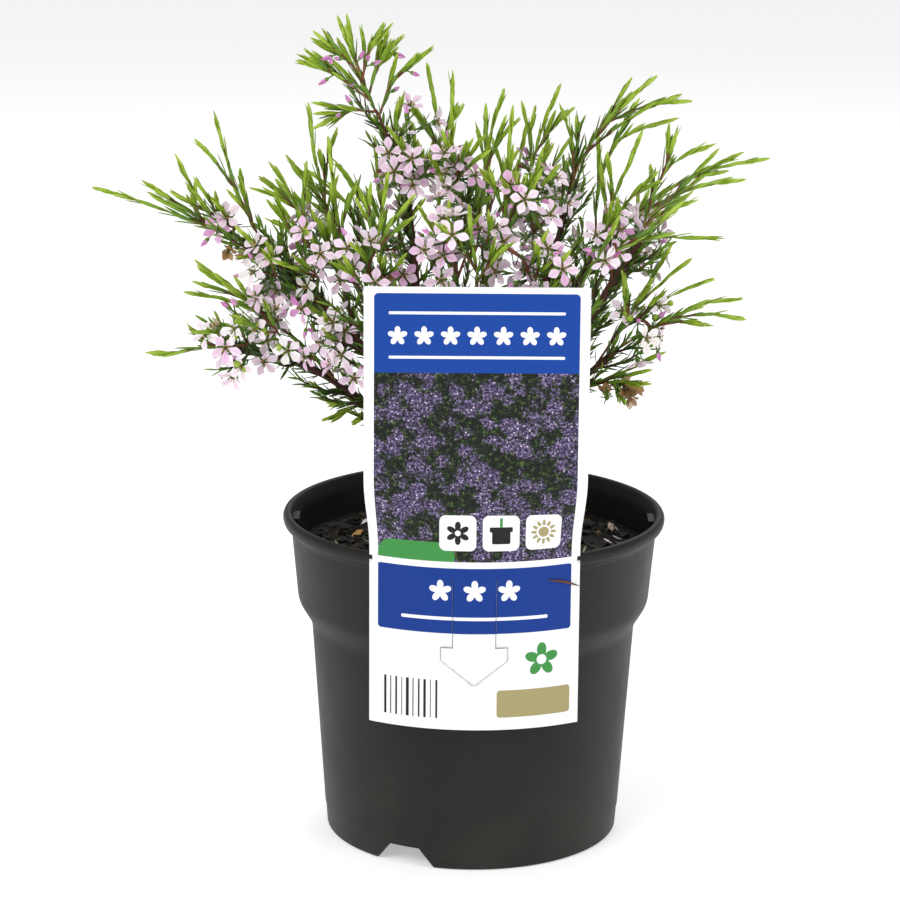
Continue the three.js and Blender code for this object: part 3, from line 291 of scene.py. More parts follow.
soil_floor = BASE_PLATE[1] + 0.3
soil_outline = [(0, soil_floor), (FOOT_RADIUS - WALL + 0.6 - SOIL_GAP, soil_floor)]
soil_outline += [(SHOULDER[0] - WALL - SOIL_GAP - 0.3, SHOULDER[1])]
soil_outline += [(COLLAR_FOOT[0] - WALL - SOIL_GAP - 0.3, COLLAR_FOOT[1] + 2)]
soil_edge = inner_top - SOIL_GAP - 0.9
loose_edge = soil_edge - 5.5
soil_outline += [(soil_edge * share, SOIL_LEVEL) for share in np.linspace(1, 0, 50)]
soil_points, soil_faces = lathed(soil_outline, SOIL_SEGMENTS)
soil_points = [
    (x, y, soil_height(x, y) if z > SOIL_LEVEL - 0.5 else z) for x, y, z in soil_points
]


def natural_material(name, roughness, ior, grain, shares, stops, bump=None, **mottling_values):
    """Mix, bark or leaf: mottling of a grain in mm, and a ramp of colours that follows the part's
    tone, its length and the mottling in (length, mottling) shares. Bump is a strength and a depth."""
    material, tree, shader = new_material(name, roughness, ior)
    place = add_node(tree, "ShaderNodeTexCoord").outputs["Object"]
    values = {"Scale": 1 / (grain * MM), **mottling_values}
    mottling = add_node(tree, "ShaderNodeTexNoise", values, {"Vector": place})
    tone, lengthwise = (
        add_node(tree, "ShaderNodeAttribute", attribute_name=attribute).outputs["Fac"]
        for attribute in ("tone", "along")
    )
    mixed = tone
    for share, source in zip(shares, (lengthwise, mottling)):
        links = {0: source, 2: mixed}
        mixed = add_node(tree, "ShaderNodeMath", {1: share}, links, operation="MULTIPLY_ADD")
    tint = add_node(tree, "ShaderNodeValToRGB", links={"Fac": mixed}, stops=stops)
    link_all(tree, shader, {"Base Color": tint})
    if bump:
        relief = {"Strength": bump[0], "Distance": bump[1] * MM}
        link_all(tree, shader, {"Normal": add_node(tree, "ShaderNodeBump", relief, {"Height": mottling})})
    return material


DAMP_MIX = [(0.3, "#070605"), (0.5, "#110d0a"), (0.64, "#201711"), (0.8, "#443122")]
potting_mix = natural_material(
    "composted_bark_and_peat", 0.9, 1.45, 4, (0, 1), DAMP_MIX, (0.9, 1.2), Detail=8, Roughness=0.7
)
mix = mesh_object("potting_mix", soil_points, soil_faces, [potting_mix])
install(mix, "potting_mix", "soil")

# Loose bark chips, pressed a little into the mix: flat splinters of 2 to 8 mm, broken by a mill,
# dark brown and damp, with a few dry ones whose torn faces are paler.
CHIP_COUNT = 620
CHIP = {"length": (2, 8), "width": (1.2, 4), "thickness": (0.6, 1.8), "uneven": 0.35, "tilt": 0.35}
CHIP_COLOURS = [(0.2, "#0c0907"), (0.55, "#1a130e"), (0.85, "#36261a"), (0.97, "#8a6636"), (1.0, "#b98f4c")]
bark_chip = natural_material(
    "broken_pine_bark", 0.85, 1.45, 3, (0, 0.5), CHIP_COLOURS, (0.7, 0.4), Detail=6, Distortion=1
)
rng = np.random.default_rng(11)
chips = []
chip_tones = []
for _ in range(CHIP_COUNT):
    radius = loose_edge * math.sqrt(rng.uniform(0.006, 1))
    angle = rng.uniform(0, 2 * math.pi)
    x, y = radius * math.sin(angle), -radius * math.cos(angle)
    size = np.array([rng.uniform(*CHIP[side]) for side in ("length", "width", "thickness")])
    corners, faces = block((1, 1, 1), (0, 0, 0))
    shape = np.array(corners) * size * (1 + rng.uniform(-CHIP["uneven"], CHIP["uneven"], (8, 3)))
    spin = Matrix.Rotation(rng.uniform(0, 6.28), 3, "Z")
    turn = spin @ Matrix.Rotation(rng.normal(0, CHIP["tilt"]), 3, "X")
    shape = shape @ np.array(turn).T + (x, y, soil_height(x, y) + 0.3 * size[2])
    chips.append((shape.tolist(), faces))
    chip_tones += [0.8 * rng.uniform() ** 3] * 8
bark_chips = mesh_object("bark_chips", *merged(chips), [bark_chip], sharp=20)
bark_chips.data.attributes.new("tone", "FLOAT", "POINT").data.foreach_set("value", chip_tones)
install(bark_chips, "potting_mix")

# The woody stem: one short trunk that forks at the soil into long thin limbs. Their bark is thin,
# reddish brown and finely cracked. Each centre line runs outward through stations in millimetres.
TRUNK = [(-2, 0, 94.2), (-2, 0, 112), (-2, -1, 134)]
LIMB_RADII = (1.7, 1.0)
LIMBS = {
    "far_left": [(-3, -1, 126), (-22, -5, 158), (-44, -8, 186), (-63, -6, 207), (-80, -10, 221)],
    "low_left": [(-3, -1, 122), (-20, -4, 144), (-41, -6, 162), (-62, -10, 176), (-85, -14, 182)],
    "front_left_high": [(-3, -1, 130), (-18, -14, 158), (-38, -24, 184), (-60, -24, 206), (-74, -22, 220)],
    "top": [(-2, -1, 128), (-12, -2, 160), (-20, -4, 192), (-23, -6, 222), (-26, -8, 244), (-33, -10, 262)],
    "centre": [(-2, 0, 130), (-3, -6, 165), (-7, -8, 200), (-8, -10, 232)],
    "right_high": [(-1, 0, 128), (8, -2, 160), (20, -2, 192), (28, -2, 216), (33, -4, 238)],
    "right": [(-1, 0, 126), (14, -4, 152), (34, -8, 182), (48, -10, 206), (58, -12, 222)],
    "low_right": [(-1, 0, 122), (16, -5, 144), (34, -8, 166), (50, -10, 182)],
    "front": [(-2, -2, 128), (-3, -20, 160), (-2, -38, 188), (0, -50, 210)],
    "front_left": [(-3, -2, 124), (-14, -20, 152), (-27, -38, 178), (-36, -50, 200)],
    "front_right": [(-1, -2, 124), (10, -18, 150), (22, -34, 176), (30, -46, 198)],
    "back": [(-2, 1, 126), (0, 20, 158), (3, 38, 186), (4, 52, 212)],
    "back_left": [(-3, 1, 124), (-16, 18, 150), (-34, 34, 178), (-50, 46, 204)],
    "back_right": [(-1, 1, 124), (14, 18, 150), (34, 34, 178), (50, 46, 202)],
    "left_rear": [(-3, 0, 128), (-16, 8, 160), (-32, 14, 190), (-44, 16, 216)],
    "right_rear": [(-1, 0, 128), (14, 10, 160), (32, 18, 190), (44, 20, 214)],
    "back_low": [(-2, 1, 120), (-2, 22, 136), (-8, 44, 152), (-14, 62, 166)],
}


def trace(stations, steps=16):
    """A smooth line through its stations, with each span in so many steps."""
    fixed = [np.array(p, float) for p in stations]
    run = [2 * fixed[0] - fixed[1], *fixed, 2 * fixed[-1] - fixed[-2]]
    line = []
    for p0, p1, p2, p3 in zip(run, run[1:], run[2:], run[3:]):
        for t in np.arange(steps) / steps:
            slope = 0.5 * (p2 - p0) * (t**3 - 2 * t**2 + t) + 0.5 * (p3 - p1) * (t**3 - t**2)
            line.append(p1 * (2 * t**3 - 3 * t**2 + 1) + p2 * (3 * t**2 - 2 * t**3) + slope)
    return np.array(line + [fixed[-1]])


def along(line, distances):
    """Points and headings at the given distances along a line."""
    steps = np.linalg.norm(np.diff(line, axis=0), axis=1)
    reach = np.concatenate([[0], np.cumsum(steps)])
    points, ahead, behind = (
        np.stack([np.interp(np.add(distances, step), reach, axis) for axis in line.T], axis=1)
        for step in (0, 0.4, -0.4)
    )
    return points, unit(ahead - behind)


def square_to(axis, rng):
    """A random direction at a right angle to an axis."""
    return unit(np.cross(axis, rng.normal(0, 1, 3)))


def length_of(line):
    """The length of a line in millimetres."""
    return float(np.linalg.norm(np.diff(line, axis=0), axis=1).sum())


def unit(vectors):
    """Vectors at a length of one."""
    return vectors / np.linalg.norm(vectors, axis=-1, keepdims=True)


# The materials of the pieces of growth come in this order: wood, leaf, petal, flower's centre.
WOOD, GREENERY, BLOSSOM, CENTRE = range(4)


def new_growth():
    """An empty heap of parts that become one mesh, with a tone and a place on the part per point."""
    return {"points": [], "faces": [], "material": [], "tone": [], "along": [], "across": [], "count": 0}


def add_part(growth, points, faces, material, tone, lengthwise, across):
    """Puts one part, or many alike, on a heap; faces come in groups of one number of corners."""
    growth["faces"] += [face + growth["count"] for face in faces]
    growth["material"] += [np.full(len(face), material) for face in faces]
    growth["points"].append(points)
    growth["tone"].append(np.broadcast_to(tone, len(points)))
    growth["along"].append(np.broadcast_to(lengthwise, len(points)))
    growth["across"].append(np.broadcast_to(across, len(points)))
    growth["count"] += len(points)


def grown(name, growth, materials, slot, *nodes):
    """Makes one piece of a heap of parts and installs it."""
    faces = [face for group in growth["faces"] for face in group.tolist()]
    piece = mesh_object(name, np.concatenate(growth["points"]), faces, materials, sharp=60)
    piece.data.polygons.foreach_set("material_index", np.concatenate(growth["material"]).astype(int))
    for attribute in ("tone", "along", "across"):
        values = np.concatenate(growth[attribute]).astype(np.float32)
        piece.data.attributes.new(attribute, "FLOAT", "POINT").data.foreach_set("value", values)
    return install(piece, slot, *nodes)


def closed_rings(rings, around):
    """Faces between rings of points, then the fans that close them on one more point at each end."""
    k = np.arange(around)
    n = (k + 1) % around
    first = np.arange(rings - 1)[:, None] * around
    quads = np.stack([first + k, first + n, first + around + n, first + around + k], axis=2)
    start, end, last = rings * around, rings * around + 1, (rings - 1) * around
    fans = [
        np.stack([n, k, np.full(around, start)], axis=1),
        np.stack([last + k, last + n, np.full(around, end)], axis=1),
    ]
    return quads.reshape(-1, 4), np.concatenate(fans)


def add_tube(growth, line, radii, sides, material=WOOD, tone=0.5):
    """A round stem along a line, closed to a point at both ends."""
    count = len(line)
    heading = unit(np.gradient(line, axis=0))
    radii = np.interp(np.linspace(0, 1, count), np.linspace(0, 1, len(radii)), radii)
    guide = np.array([1.0, 0, 0]) if abs(heading[0][2]) > 0.9 else np.array([0, 0, 1.0])
    rings = []
    angles = 2 * np.pi * np.arange(sides) / sides
    for centre, ahead, radius in zip(line, heading, radii):
        guide = unit(guide - ahead * guide.dot(ahead))
        other = np.cross(ahead, guide)
        rings.append(centre + radius * (np.outer(np.cos(angles), guide) + np.outer(np.sin(angles), other)))
    points = np.concatenate([*rings, line[:1], line[-1:]])
    lengthwise = np.concatenate([np.repeat(np.linspace(0, 1, count), sides), [0, 1]])
    add_part(growth, points, closed_rings(count, sides), material, tone, lengthwise, 0)


BARK_COLOURS = [(0.1, "#2a1813"), (0.35, "#44271e"), (0.6, "#5f3828"), (0.9, "#86583f")]
CRACKS = {"Detail": 6, "Roughness": 0.65, "Distortion": 0.6}
bark = natural_material(
    "thin_reddish_bark", 0.75, 1.45, 1.6, (0, 0.4), BARK_COLOURS, (0.8, 0.3), **CRACKS
)
stems = new_growth()
trunk_line = trace(TRUNK)
trunk_line[:, 0] += 0.4 * np.sin(np.linspace(0, 5, len(trunk_line)))
add_tube(stems, trunk_line, (3.9, 3.5, 3.3, 3.2, 2.6, 1.2), 20, tone=0.15)
limb_lines = {name: trace(stations) for name, stations in LIMBS.items()}
rng = np.random.default_rng(21)
for line in limb_lines.values():
    radii = np.linspace(*LIMB_RADII, 24) * (1 + 0.06 * rng.standard_normal(24))
    radii[:3] *= (1.25, 1.15, 1.08)
    add_tube(stems, line, radii, 12, tone=rng.uniform(0.1, 0.35))
grown("woody_stem_bark", stems, [bark], "bark", "woody_stem")

# Old leaves on the limbs and their short side twigs: stiff dark needles of 5 to 8 mm that stand
# well away from the wood. They are leathery, with a waxy skin that shines softly.
GOLDEN_ANGLE = math.radians(137.5)
LEAF_OUTLINE = [(0.04, 0.4), (0.22, 0.78), (0.5, 1.0), (0.77, 0.72), (0.92, 0.33)]
LEAF_SECTION = [(-1, 0.3, 0), (0, 0, 0.5), (1, 0.3, 0), (0, 0, -0.5)]
OLD_LEAF = {"length": (5.5, 8), "width": 0.9, "lean": (36, 58), "spacing": 1.8, "tone": (0.0, 0.25)}
INNER_LEAF = {"length": (4.5, 7.2), "width": 1.2, "lean": (20, 46), "spacing": 1.25, "tone": (0.05, 0.5)}
INNER_TWIG = {"spacing": 4.2, "reach": (11, 22), "radii": (0.5, 0.3)}
# Added growth stops short of the label, which stands 70 mm in front of the pot's axis.
FRONT = {"twig": -62, "side_shoot": -64, "bloom": -60, "leafy_tip": -63}
CROWN_CENTRE = np.array([-8, 0, 190])


def add_blades(growth, roots, axes, tops, lengths, widths, curls, outline, section, material, tones,
               thickness=0.3):
    """Thin closed blades of one outline: each runs from its root along its axis, and curls up."""
    axes = unit(axes)
    tops = unit(tops - axes * np.sum(tops * axes, axis=1, keepdims=True))
    sides = np.cross(axes, tops)
    t = np.array([place for place, _ in outline])
    share = np.array([width for _, width in outline])
    x, lift, thick = np.array(section, float).T
    lengths, widths, curls = (
        np.broadcast_to(values, len(roots)).astype(float) for values in (lengths, widths, curls)
    )
    middle = roots[:, None] + axes[:, None] * (lengths[:, None] * t)[..., None]
    middle = middle + tops[:, None] * (curls[:, None] * lengths[:, None] * t**2)[..., None]
    half = 0.5 * widths[:, None] * share
    over = half[..., None] * lift + thickness * np.minimum(1, 2 * share)[:, None] * thick
    ring = middle[:, :, None] + sides[:, None, None] * (half[..., None] * x)[..., None]
    ring = ring + tops[:, None, None] * over[..., None]
    tips = roots + axes * lengths[:, None] + tops * (curls * lengths)[:, None]
    count, spans, around = len(roots), len(t), len(x)
    body = ring.reshape(count, spans * around, 3)
    points = np.concatenate([body, roots[:, None], tips[:, None]], axis=1).reshape(-1, 3)
    quads, fans = closed_rings(spans, around)
    each = spans * around + 2
    step = (np.arange(count) * each)[:, None, None]
    faces = [(quads + step).reshape(-1, 4), (fans + step).reshape(-1, 3)]
    lengthwise = np.tile(np.concatenate([np.repeat(t, around), [0, 1]]), count)
    across = np.tile(np.concatenate([np.tile(x, spans), [0, 0]]), count)
    add_part(growth, points, faces, material, np.repeat(tones, each), lengthwise, across)


def add_leaves(growth, line, distances, kind, rng, closing=0.0, ends_at=1e9):
    """Leaves in a spiral at the given distances. Closing makes them lean in towards the tip, and
    no leaf reaches past ends_at."""
    count = len(distances)
    if count == 0:
        return
    points, heading = along(line, distances)
    guide = np.tile([0.3, -0.5, 0.81], (count, 1))
    u = unit(np.cross(heading, guide))
    v = np.cross(heading, u)
    turn = (rng.uniform(0, 6.28) + GOLDEN_ANGLE * np.arange(count) + rng.normal(0, 0.25, count))[:, None]
    out = u * np.cos(turn) + v * np.sin(turn)
    share = np.linspace(0, 1, count)
    lean = np.radians(rng.uniform(*kind["lean"], count) * (1 - closing * share))[:, None]
    axes = heading * np.cos(lean) + out * np.sin(lean)
    tops = heading * np.sin(lean) - out * np.cos(lean)
    lengths = np.minimum(rng.uniform(*kind["length"], count), ends_at - distances)
    widths = kind["width"] * rng.uniform(0.85, 1.15, count)
    tones = np.interp(share, [0, 1], kind["tone"]) + rng.normal(0, 0.06, count)
    add_blades(growth, points, axes, tops, lengths, widths, rng.uniform(0.0, 0.1, count),
               LEAF_OUTLINE, LEAF_SECTION, GREENERY, tones)


# A leaf is deep green when old and lime when young, and a little paler towards its tip.
LEAF_COLOURS = [(0.05, "#23381a"), (0.3, "#3b5c1e"), (0.6, "#668b22"), (0.85, "#90b02e"), (1.0, "#a8c244")]
leaf = natural_material(
    "waxy_living_leaf", 0.42, 1.42, 2.5, (0.16, 0.14), LEAF_COLOURS, (0.25, 0.1), Detail=3
)
rng = np.random.default_rng(31)
for name, line in limb_lines.items():
    foliage = new_growth()
    whole = length_of(line)
    add_leaves(foliage, line, np.arange(0.3 * whole, whole, OLD_LEAF["spacing"]), OLD_LEAF, rng)
    for s in np.arange(0.24 * whole, 0.98 * whole, INNER_TWIG["spacing"]):
        (root,), (heading,) = along(line, [s])
        outward = unit(root - CROWN_CENTRE + np.array([0, 0, 25]))
        side = unit(rng.normal(0, 1, 3) + 0.6 * outward)
        reach = rng.uniform(*INNER_TWIG["reach"])
        bend = root + reach * (0.32 * heading + 0.3 * side)
        tip = root + reach * (0.62 * heading + 0.62 * side + np.array([0, 0, 0.2]))
        if min(bend[1], tip[1]) < FRONT["twig"]:
            continue
        twig = trace([root, bend, tip], 8)
        add_tube(foliage, twig, INNER_TWIG["radii"], 6, WOOD, 0.3)
        reaches = np.arange(1.5, length_of(twig), INNER_LEAF["spacing"])
        add_leaves(foliage, twig, reaches, INNER_LEAF, rng, 0.3)
    grown(f"old_leaves_{name}", foliage, [bark, leaf], "leaf")

# Leafy sprays: this year's soft shoots. Their narrow leaves, 7 to 11 mm long, lie close along the
# shoot and end in a lime green spear. The shoot is red brown at its foot and green near its tip.
YOUNG_LEAF = {"length": (7, 11), "width": 1.45, "lean": (8, 19), "spacing": 2.5, "tone": (0.35, 0.8)}
SPEAR_LEAF = {"length": (6, 10), "width": 1.7, "lean": (2, 7), "tone": (0.72, 0.92)}
SPEAR = {"leaves": 6, "first": 11, "last": 6, "beyond": 1.5, "point": 8, "short": 2.2}
SHOOT_RADII = (0.5, 0.12)
# Each row: a name, the limb that carries it, the share of the limb where it leaves, the stations of
# its main shoot, and for each side shoot where it leaves the main one and its tip.
SPRAYS = [
    ("far_left", "far_left", 1, [(-92, -12, 225), (-116, -12, 234), (-135, -12, 240)],
     [(0.1, -106, -16, 252), (0.3, -100, -4, 240)]),
    ("left_tall", "front_left_high", 1, [(-80, -14, 229), (-87, -8, 244), (-93, -8, 266)],
     [(0.2, -83, -24, 246), (0.45, -100, 0, 255)]),
    ("left_mid", "front_left_high", 0.82, [(-62, -15, 226), (-66, -12, 238), (-73, -12, 249)],
     [(0.35, -60, -18, 250), (0.2, -73, -26, 238)]),
    ("left_upright", "left_rear", 1, [(-52, 8, 226), (-57, 1, 244), (-60, 0, 268)],
     [(0.4, -50, -4, 260), (0.3, -68, 8, 248), (0.25, -62, -10, 246)]),
    ("left_inner", "front_left_high", 0.62, [(-49, -26, 218), (-50, -26, 240), (-52, -26, 260)],
     [(0.4, -42, -32, 246), (0.25, -57, -36, 236)]),
    ("left_rear", "left_rear", 0.8, [(-34, 23, 218), (-36, 24, 238), (-37, 22, 253)],
     [(0.3, -52, 28, 244), (0.2, -62, 32, 240)]),
    ("low_left_tip", "low_left", 1, [(-96, -14, 183), (-107, -14, 181), (-117, -14, 181)],
     [(0.2, -101, -22, 192)]),
    ("low_left", "low_left", 0.62, [(-68, -17, 190), (-85, -15, 199), (-103, -14, 203)],
     [(0.4, -92, -26, 212), (0.5, -100, -4, 212)]),
    ("low_left_tuft", "low_left", 0.36, [(-38, 4, 158), (-46, 5, 158), (-56, 4, 160)],
     [(0.3, -44, 9, 149), (0.5, -51, -2, 153)]),
    ("top", "top", 1, [(-38, -10, 272), (-43, -10, 285), (-49, -10, 300)],
     [(0.1, -17, -14, 290), (0.25, -63, -10, 285), (0.15, -57, -12, 262), (0.45, -33, -8, 297),
      (0.5, -58, -5, 292), (0.3, -27, -2, 293)]),
    ("upper_left", "centre", 1, [(-11, -8, 246), (-14, -5, 264), (-18, -4, 283)],
     [(0.35, -24, 2, 267), (0.45, -5, -2, 268)]),
    ("upper_front", "centre", 0.86, [(-9, -20, 240), (-9, -24, 262), (-9, -24, 283)],
     [(0.35, 2, -30, 262), (0.3, -17, -34, 256)]),
    ("upper_mid", "centre", 0.74, [(1, -9, 232), (4, -10, 256), (9, -10, 275)],
     [(0.5, 3, 2, 268), (0.6, 14, -16, 266)]),
    ("upper_front_right", "front", 0.9, [(8, -42, 226), (10, -33, 248), (12, -30, 272)],
     [(0.4, 21, -38, 252), (0.5, 1, -42, 252)]),
    ("upper_right", "right_high", 0.8, [(20, 6, 232), (21, 5, 252), (29, 4, 275)],
     [(0.5, 16, 8, 268), (0.6, 34, 10, 266)]),
    ("right_tall", "right_high", 1, [(37, -5, 250), (47, -8, 266), (62, -8, 280)],
     [(0.1, 29, -16, 271), (0.15, 35, 0, 264), (0.35, 54, 0, 278), (0.3, 70, -16, 275),
      (0.55, 75, -2, 271)]),
    ("right_rear_tall", "right_rear", 1, [(44, 16, 234), (51, 12, 254), (71, 10, 263)],
     [(0.5, 58, 18, 268), (0.3, 44, 24, 254)]),
    ("right_front_tall", "right", 0.84, [(47, -22, 234), (52, -25, 250), (57, -25, 263)],
     [(0.35, 62, -32, 250), (0.5, 45, -30, 256)]),
    ("right_long", "right", 1, [(62, -13, 238), (69, -12, 250), (83, -12, 257)],
     [(0.1, 76, -2, 240), (0.2, 95, -2, 243), (0.3, 60, -30, 252), (0.5, 70, -14, 263)]),
    ("right_longest", "right_rear", 0.86, [(58, 10, 228), (79, 8, 243), (104, 8, 249)],
     [(0.4, 92, 18, 240), (0.55, 94, 0, 252), (0.3, 70, 22, 236)]),
    ("right_front_low", "front_right", 1, [(40, -46, 219), (58, -46, 229), (84, -46, 230)],
     [(0.3, 48, -54, 238), (0.5, 70, -42, 241)]),
    ("right_middle", "low_right", 0.86, [(56, -6, 195), (67, -8, 207), (76, -10, 215)],
     [(0.3, 85, 2, 206), (0.4, 70, 2, 218), (0.2, 62, -20, 210)]),
    ("right_low", "low_right", 1, [(61, -18, 191), (78, -22, 201), (93, -24, 204)],
     [(0.25, 84, -8, 200), (0.5, 95, -16, 195), (0.4, 80, -32, 196)]),
    ("right_lowest", "low_right", 0.7, [(49, -13, 173), (58, -15, 178), (67, -14, 182)],
     [(0.3, 59, -24, 172), (0.4, 52, -5, 162)]),
    ("back", "back", 1, [(5, 58, 226), (3, 62, 240), (0, 64, 252)],
     [(0.2, 16, 68, 242), (0.3, -12, 68, 242), (0.1, 26, 62, 230)]),
    ("back_left", "back_left", 1, [(-58, 52, 213), (-70, 57, 223), (-84, 60, 228)],
     [(0.2, -52, 62, 232), (0.3, -64, 68, 226), (0.5, -80, 48, 234)]),
    ("back_right", "back_right", 1, [(58, 51, 211), (70, 55, 220), (83, 58, 225)],
     [(0.2, 50, 60, 230), (0.3, 64, 66, 224), (0.5, 80, 46, 230)]),
    ("back_low", "back_low", 1, [(-17, 70, 172), (-21, 80, 176), (-25, 90, 178)],
     [(0.3, -8, 82, 184), (0.4, -32, 78, 186)]),
    ("centre_rear", "back", 0.7, [(10, 36, 210), (14, 34, 232), (18, 32, 256)],
     [(0.4, 28, 40, 248), (0.5, 6, 42, 250)]),
    ("front_left", "front_left", 1, [(-38, -48, 216), (-34, -42, 232), (-31, -38, 250)],
     [(0.2, -50, -56, 222), (0.4, -22, -48, 244), (0.5, -42, -38, 246)]),
    ("front", "front", 1, [(0, -55, 219), (-2, -58, 230), (-3, -58, 242)],
     [(0.2, 12, -60, 230), (0.3, -14, -58, 236)]),
]

YOUNG_COLOURS = [(0.2, "#55271d"), (0.5, "#7c4630"), (0.8, "#7f8a35"), (1.0, "#87a53a")]
young_stem = natural_material(
    "soft_young_shoot", 0.5, 1.45, 1.2, (0, 0.4), YOUNG_COLOURS, (0.8, 0.3), **CRACKS
)
spray_lines = {}


def add_shoot(growth, line, rng, bare=0.12, kind=YOUNG_LEAF):
    """One shoot: its stem, its spiral of leaves and the closed spear of young leaves at its tip."""
    whole = length_of(line)
    end = whole + SPEAR["beyond"]
    add_tube(growth, line, SHOOT_RADII, 6, WOOD, rng.uniform(0.0, 0.5))
    spaced = np.arange(bare * whole, whole - 6, kind["spacing"])
    add_leaves(growth, line, spaced, kind, rng, 0.45, end)
    spear = np.linspace(max(1, whole - SPEAR["first"]), max(1, whole - SPEAR["last"]), SPEAR["leaves"])
    add_leaves(growth, line, spear, SPEAR_LEAF, rng, 0.3, end - SPEAR["short"])
    base = max(1, end - SPEAR["point"])
    (root,), (heading,) = along(line, [base])
    for side in unit(rng.normal(0, 1, (2, 3))):
        add_blades(growth, root[None], (heading + 0.03 * side)[None], side[None], end - base, 1.5, -0.02,
                   LEAF_OUTLINE, LEAF_SECTION, GREENERY, [0.95])


rng = np.random.default_rng(41)
for name, limb, share, stations, side_shoots in SPRAYS:
    spray = new_growth()
    (foot,), _ = along(limb_lines[limb], [share * length_of(limb_lines[limb])])
    main = trace([foot, *stations], 12)
    add_shoot(spray, main, rng, 0.15)
    lines = [main]
    for at, *tip in side_shoots:
        (root,), (heading,) = along(main, [at * length_of(main)])
        span = np.linalg.norm(np.array(tip) - root)
        bow = root + 0.4 * (np.array(tip) - root) + 0.12 * span * heading
        lines.append(trace([root, bow, tip], 12))
        add_shoot(spray, lines[-1], rng, 0.1)
    # Short side shoots come by chance: fewer on the right, and three more at the top of the plant.
    for parent in lines:
        whole = length_of(parent)
        extra = rng.integers(0, 2 if name.startswith("right") else 3) + (3 if name == "top" else 0)
        for at in rng.uniform(0.15, 0.6, extra):
            (root,), (heading,) = along(parent, [at * whole])
            side = unit(rng.normal(0, 1, 3) + 0.5 * unit(root - CROWN_CENTRE))
            reach = rng.uniform(0.3, 0.52) * whole * (1 - at) + 6
            bow = root + reach * (0.42 * heading + 0.16 * side)
            tip = root + reach * (0.88 * heading + 0.36 * side)
            if min(bow[1], tip[1]) > FRONT["side_shoot"]:
                add_shoot(spray, trace([root, bow, tip], 8), rng, 0.1)
    spray_lines[name] = lines
    grown(f"leafy_{name}", spray, [young_stem, leaf], "leaf", f"spray_{name}")

# Bunches of blooms: flowers 11 to 12 mm across on thin green stalks that leave a short leafy twig.
# Five thin pointed petals, pale pink with a deeper midline, narrow to a claw at the green centre.
PETAL_OUTLINE = [(0.05, 0.14), (0.2, 0.26), (0.36, 0.62), (0.54, 0.96), (0.68, 1.0), (0.84, 0.66),
                 (0.95, 0.27)]
PETAL_SECTION = [(-1, 0.3, 0), (-0.4, 0.06, 0.5), (0.4, 0.06, 0.5), (1, 0.3, 0), (0.4, 0.06, -0.5),
                 (-0.4, 0.06, -0.5)]
PETAL = {"length": 5.5, "width": 3.2, "root": 0.4}
BUD_OUTLINE = [(0.1, 0.6), (0.35, 1.0), (0.6, 0.85), (0.82, 0.45), (0.94, 0.2)]
BRACT = {"length": (3.5, 6), "width": 0.9, "lean": (25, 50), "spacing": 1.6, "tone": (0.1, 0.45)}
STAR = {"faces": 8, "notch": 1.91, "tip": 5.82, "slack": 0.05}
BUNCHES = sorted(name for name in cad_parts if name.startswith("blooms_"))


def bloom_places(node):
    """Centre, facing and one petal's direction of each bloom in a bunch of the frame.

    A bloom there is a star whose notches and tips lie at known distances from the top of its
    middle. Three of each are enough to know it where it runs into its neighbour."""
    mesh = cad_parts[node].data
    spots = np.array([v.co for v in mesh.vertices]) / MM
    faces = np.array([list(p.vertices) for p in mesh.polygons])
    unique, index = np.unique(np.round(spots, 2), axis=0, return_inverse=True)
    faces = index.reshape(-1)[faces]
    found = []
    for top in np.flatnonzero(np.bincount(faces.reshape(-1), minlength=len(unique)) >= STAR["faces"]):
        around = faces[(faces == top).any(axis=1)]
        rim = unique[np.setdiff1d(around, [top])] - unique[top]
        reach = np.linalg.norm(rim, axis=1)
        tips, notches = (rim[np.abs(reach - STAR[part]) < STAR["slack"]] for part in ("tip", "notch"))
        if len(tips) >= 3 and len(notches) >= 3:
            facing = np.linalg.svd(tips - tips.mean(axis=0))[2][-1]
            facing = facing * np.sign(facing.dot(tips[0]))
            found.append((unique[top], facing, unit(tips[0] - facing * facing.dot(tips[0]))))
    return found


petal_material, tree, shader = new_material("thin_flower_petal", 0.6, 1.38, Sheen_Weight=0.15)
place = add_node(tree, "ShaderNodeTexCoord").outputs["Object"]
age, lengthwise, sideways = (
    add_node(tree, "ShaderNodeAttribute", attribute_name=attribute).outputs["Fac"]
    for attribute in ("tone", "along", "across")
)
# Its colour goes by age: magenta in the bud, pale pink, nearly white, then tan and brown.
by_age = [(0.0, "#cb72b8"), (0.09, "#e4a6d6"), (0.2, "#f4d8ec"), (0.5, "#f8eaf4"), (0.72, "#f5f1f0"),
          (0.86, "#d9c4a2"), (1.0, "#a98355")]
deeper_by_age = [(0.0, "#b0549f"), (0.12, "#c877ba"), (0.4, "#e2b2d7"), (0.75, "#e2d2cc"), (1.0, "#8a6238")]
body_colour = add_node(tree, "ShaderNodeValToRGB", links={"Fac": age}, stops=by_age)
deeper = add_node(tree, "ShaderNodeValToRGB", links={"Fac": age}, stops=deeper_by_age)
off_middle = add_node(tree, "ShaderNodeMath", links={0: sideways}, operation="ABSOLUTE")
narrow = {"From Min": 0.0, "From Max": 0.4, "To Min": 0.65, "To Max": 0.0}
midline = add_node(tree, "ShaderNodeMapRange", narrow, {"Value": off_middle})
fading = {"From Min": 0.1, "From Max": 0.95, "To Min": 1.0, "To Max": 0.25}
fades = add_node(tree, "ShaderNodeMapRange", fading, {"Value": lengthwise})
streak = add_node(tree, "ShaderNodeMath", links={0: midline, 1: fades}, operation="MULTIPLY")
layers = {"Factor": streak, 6: body_colour, 7: deeper}
streaked = add_node(tree, "ShaderNodeMix", links=layers, data_type="RGBA").outputs[2]
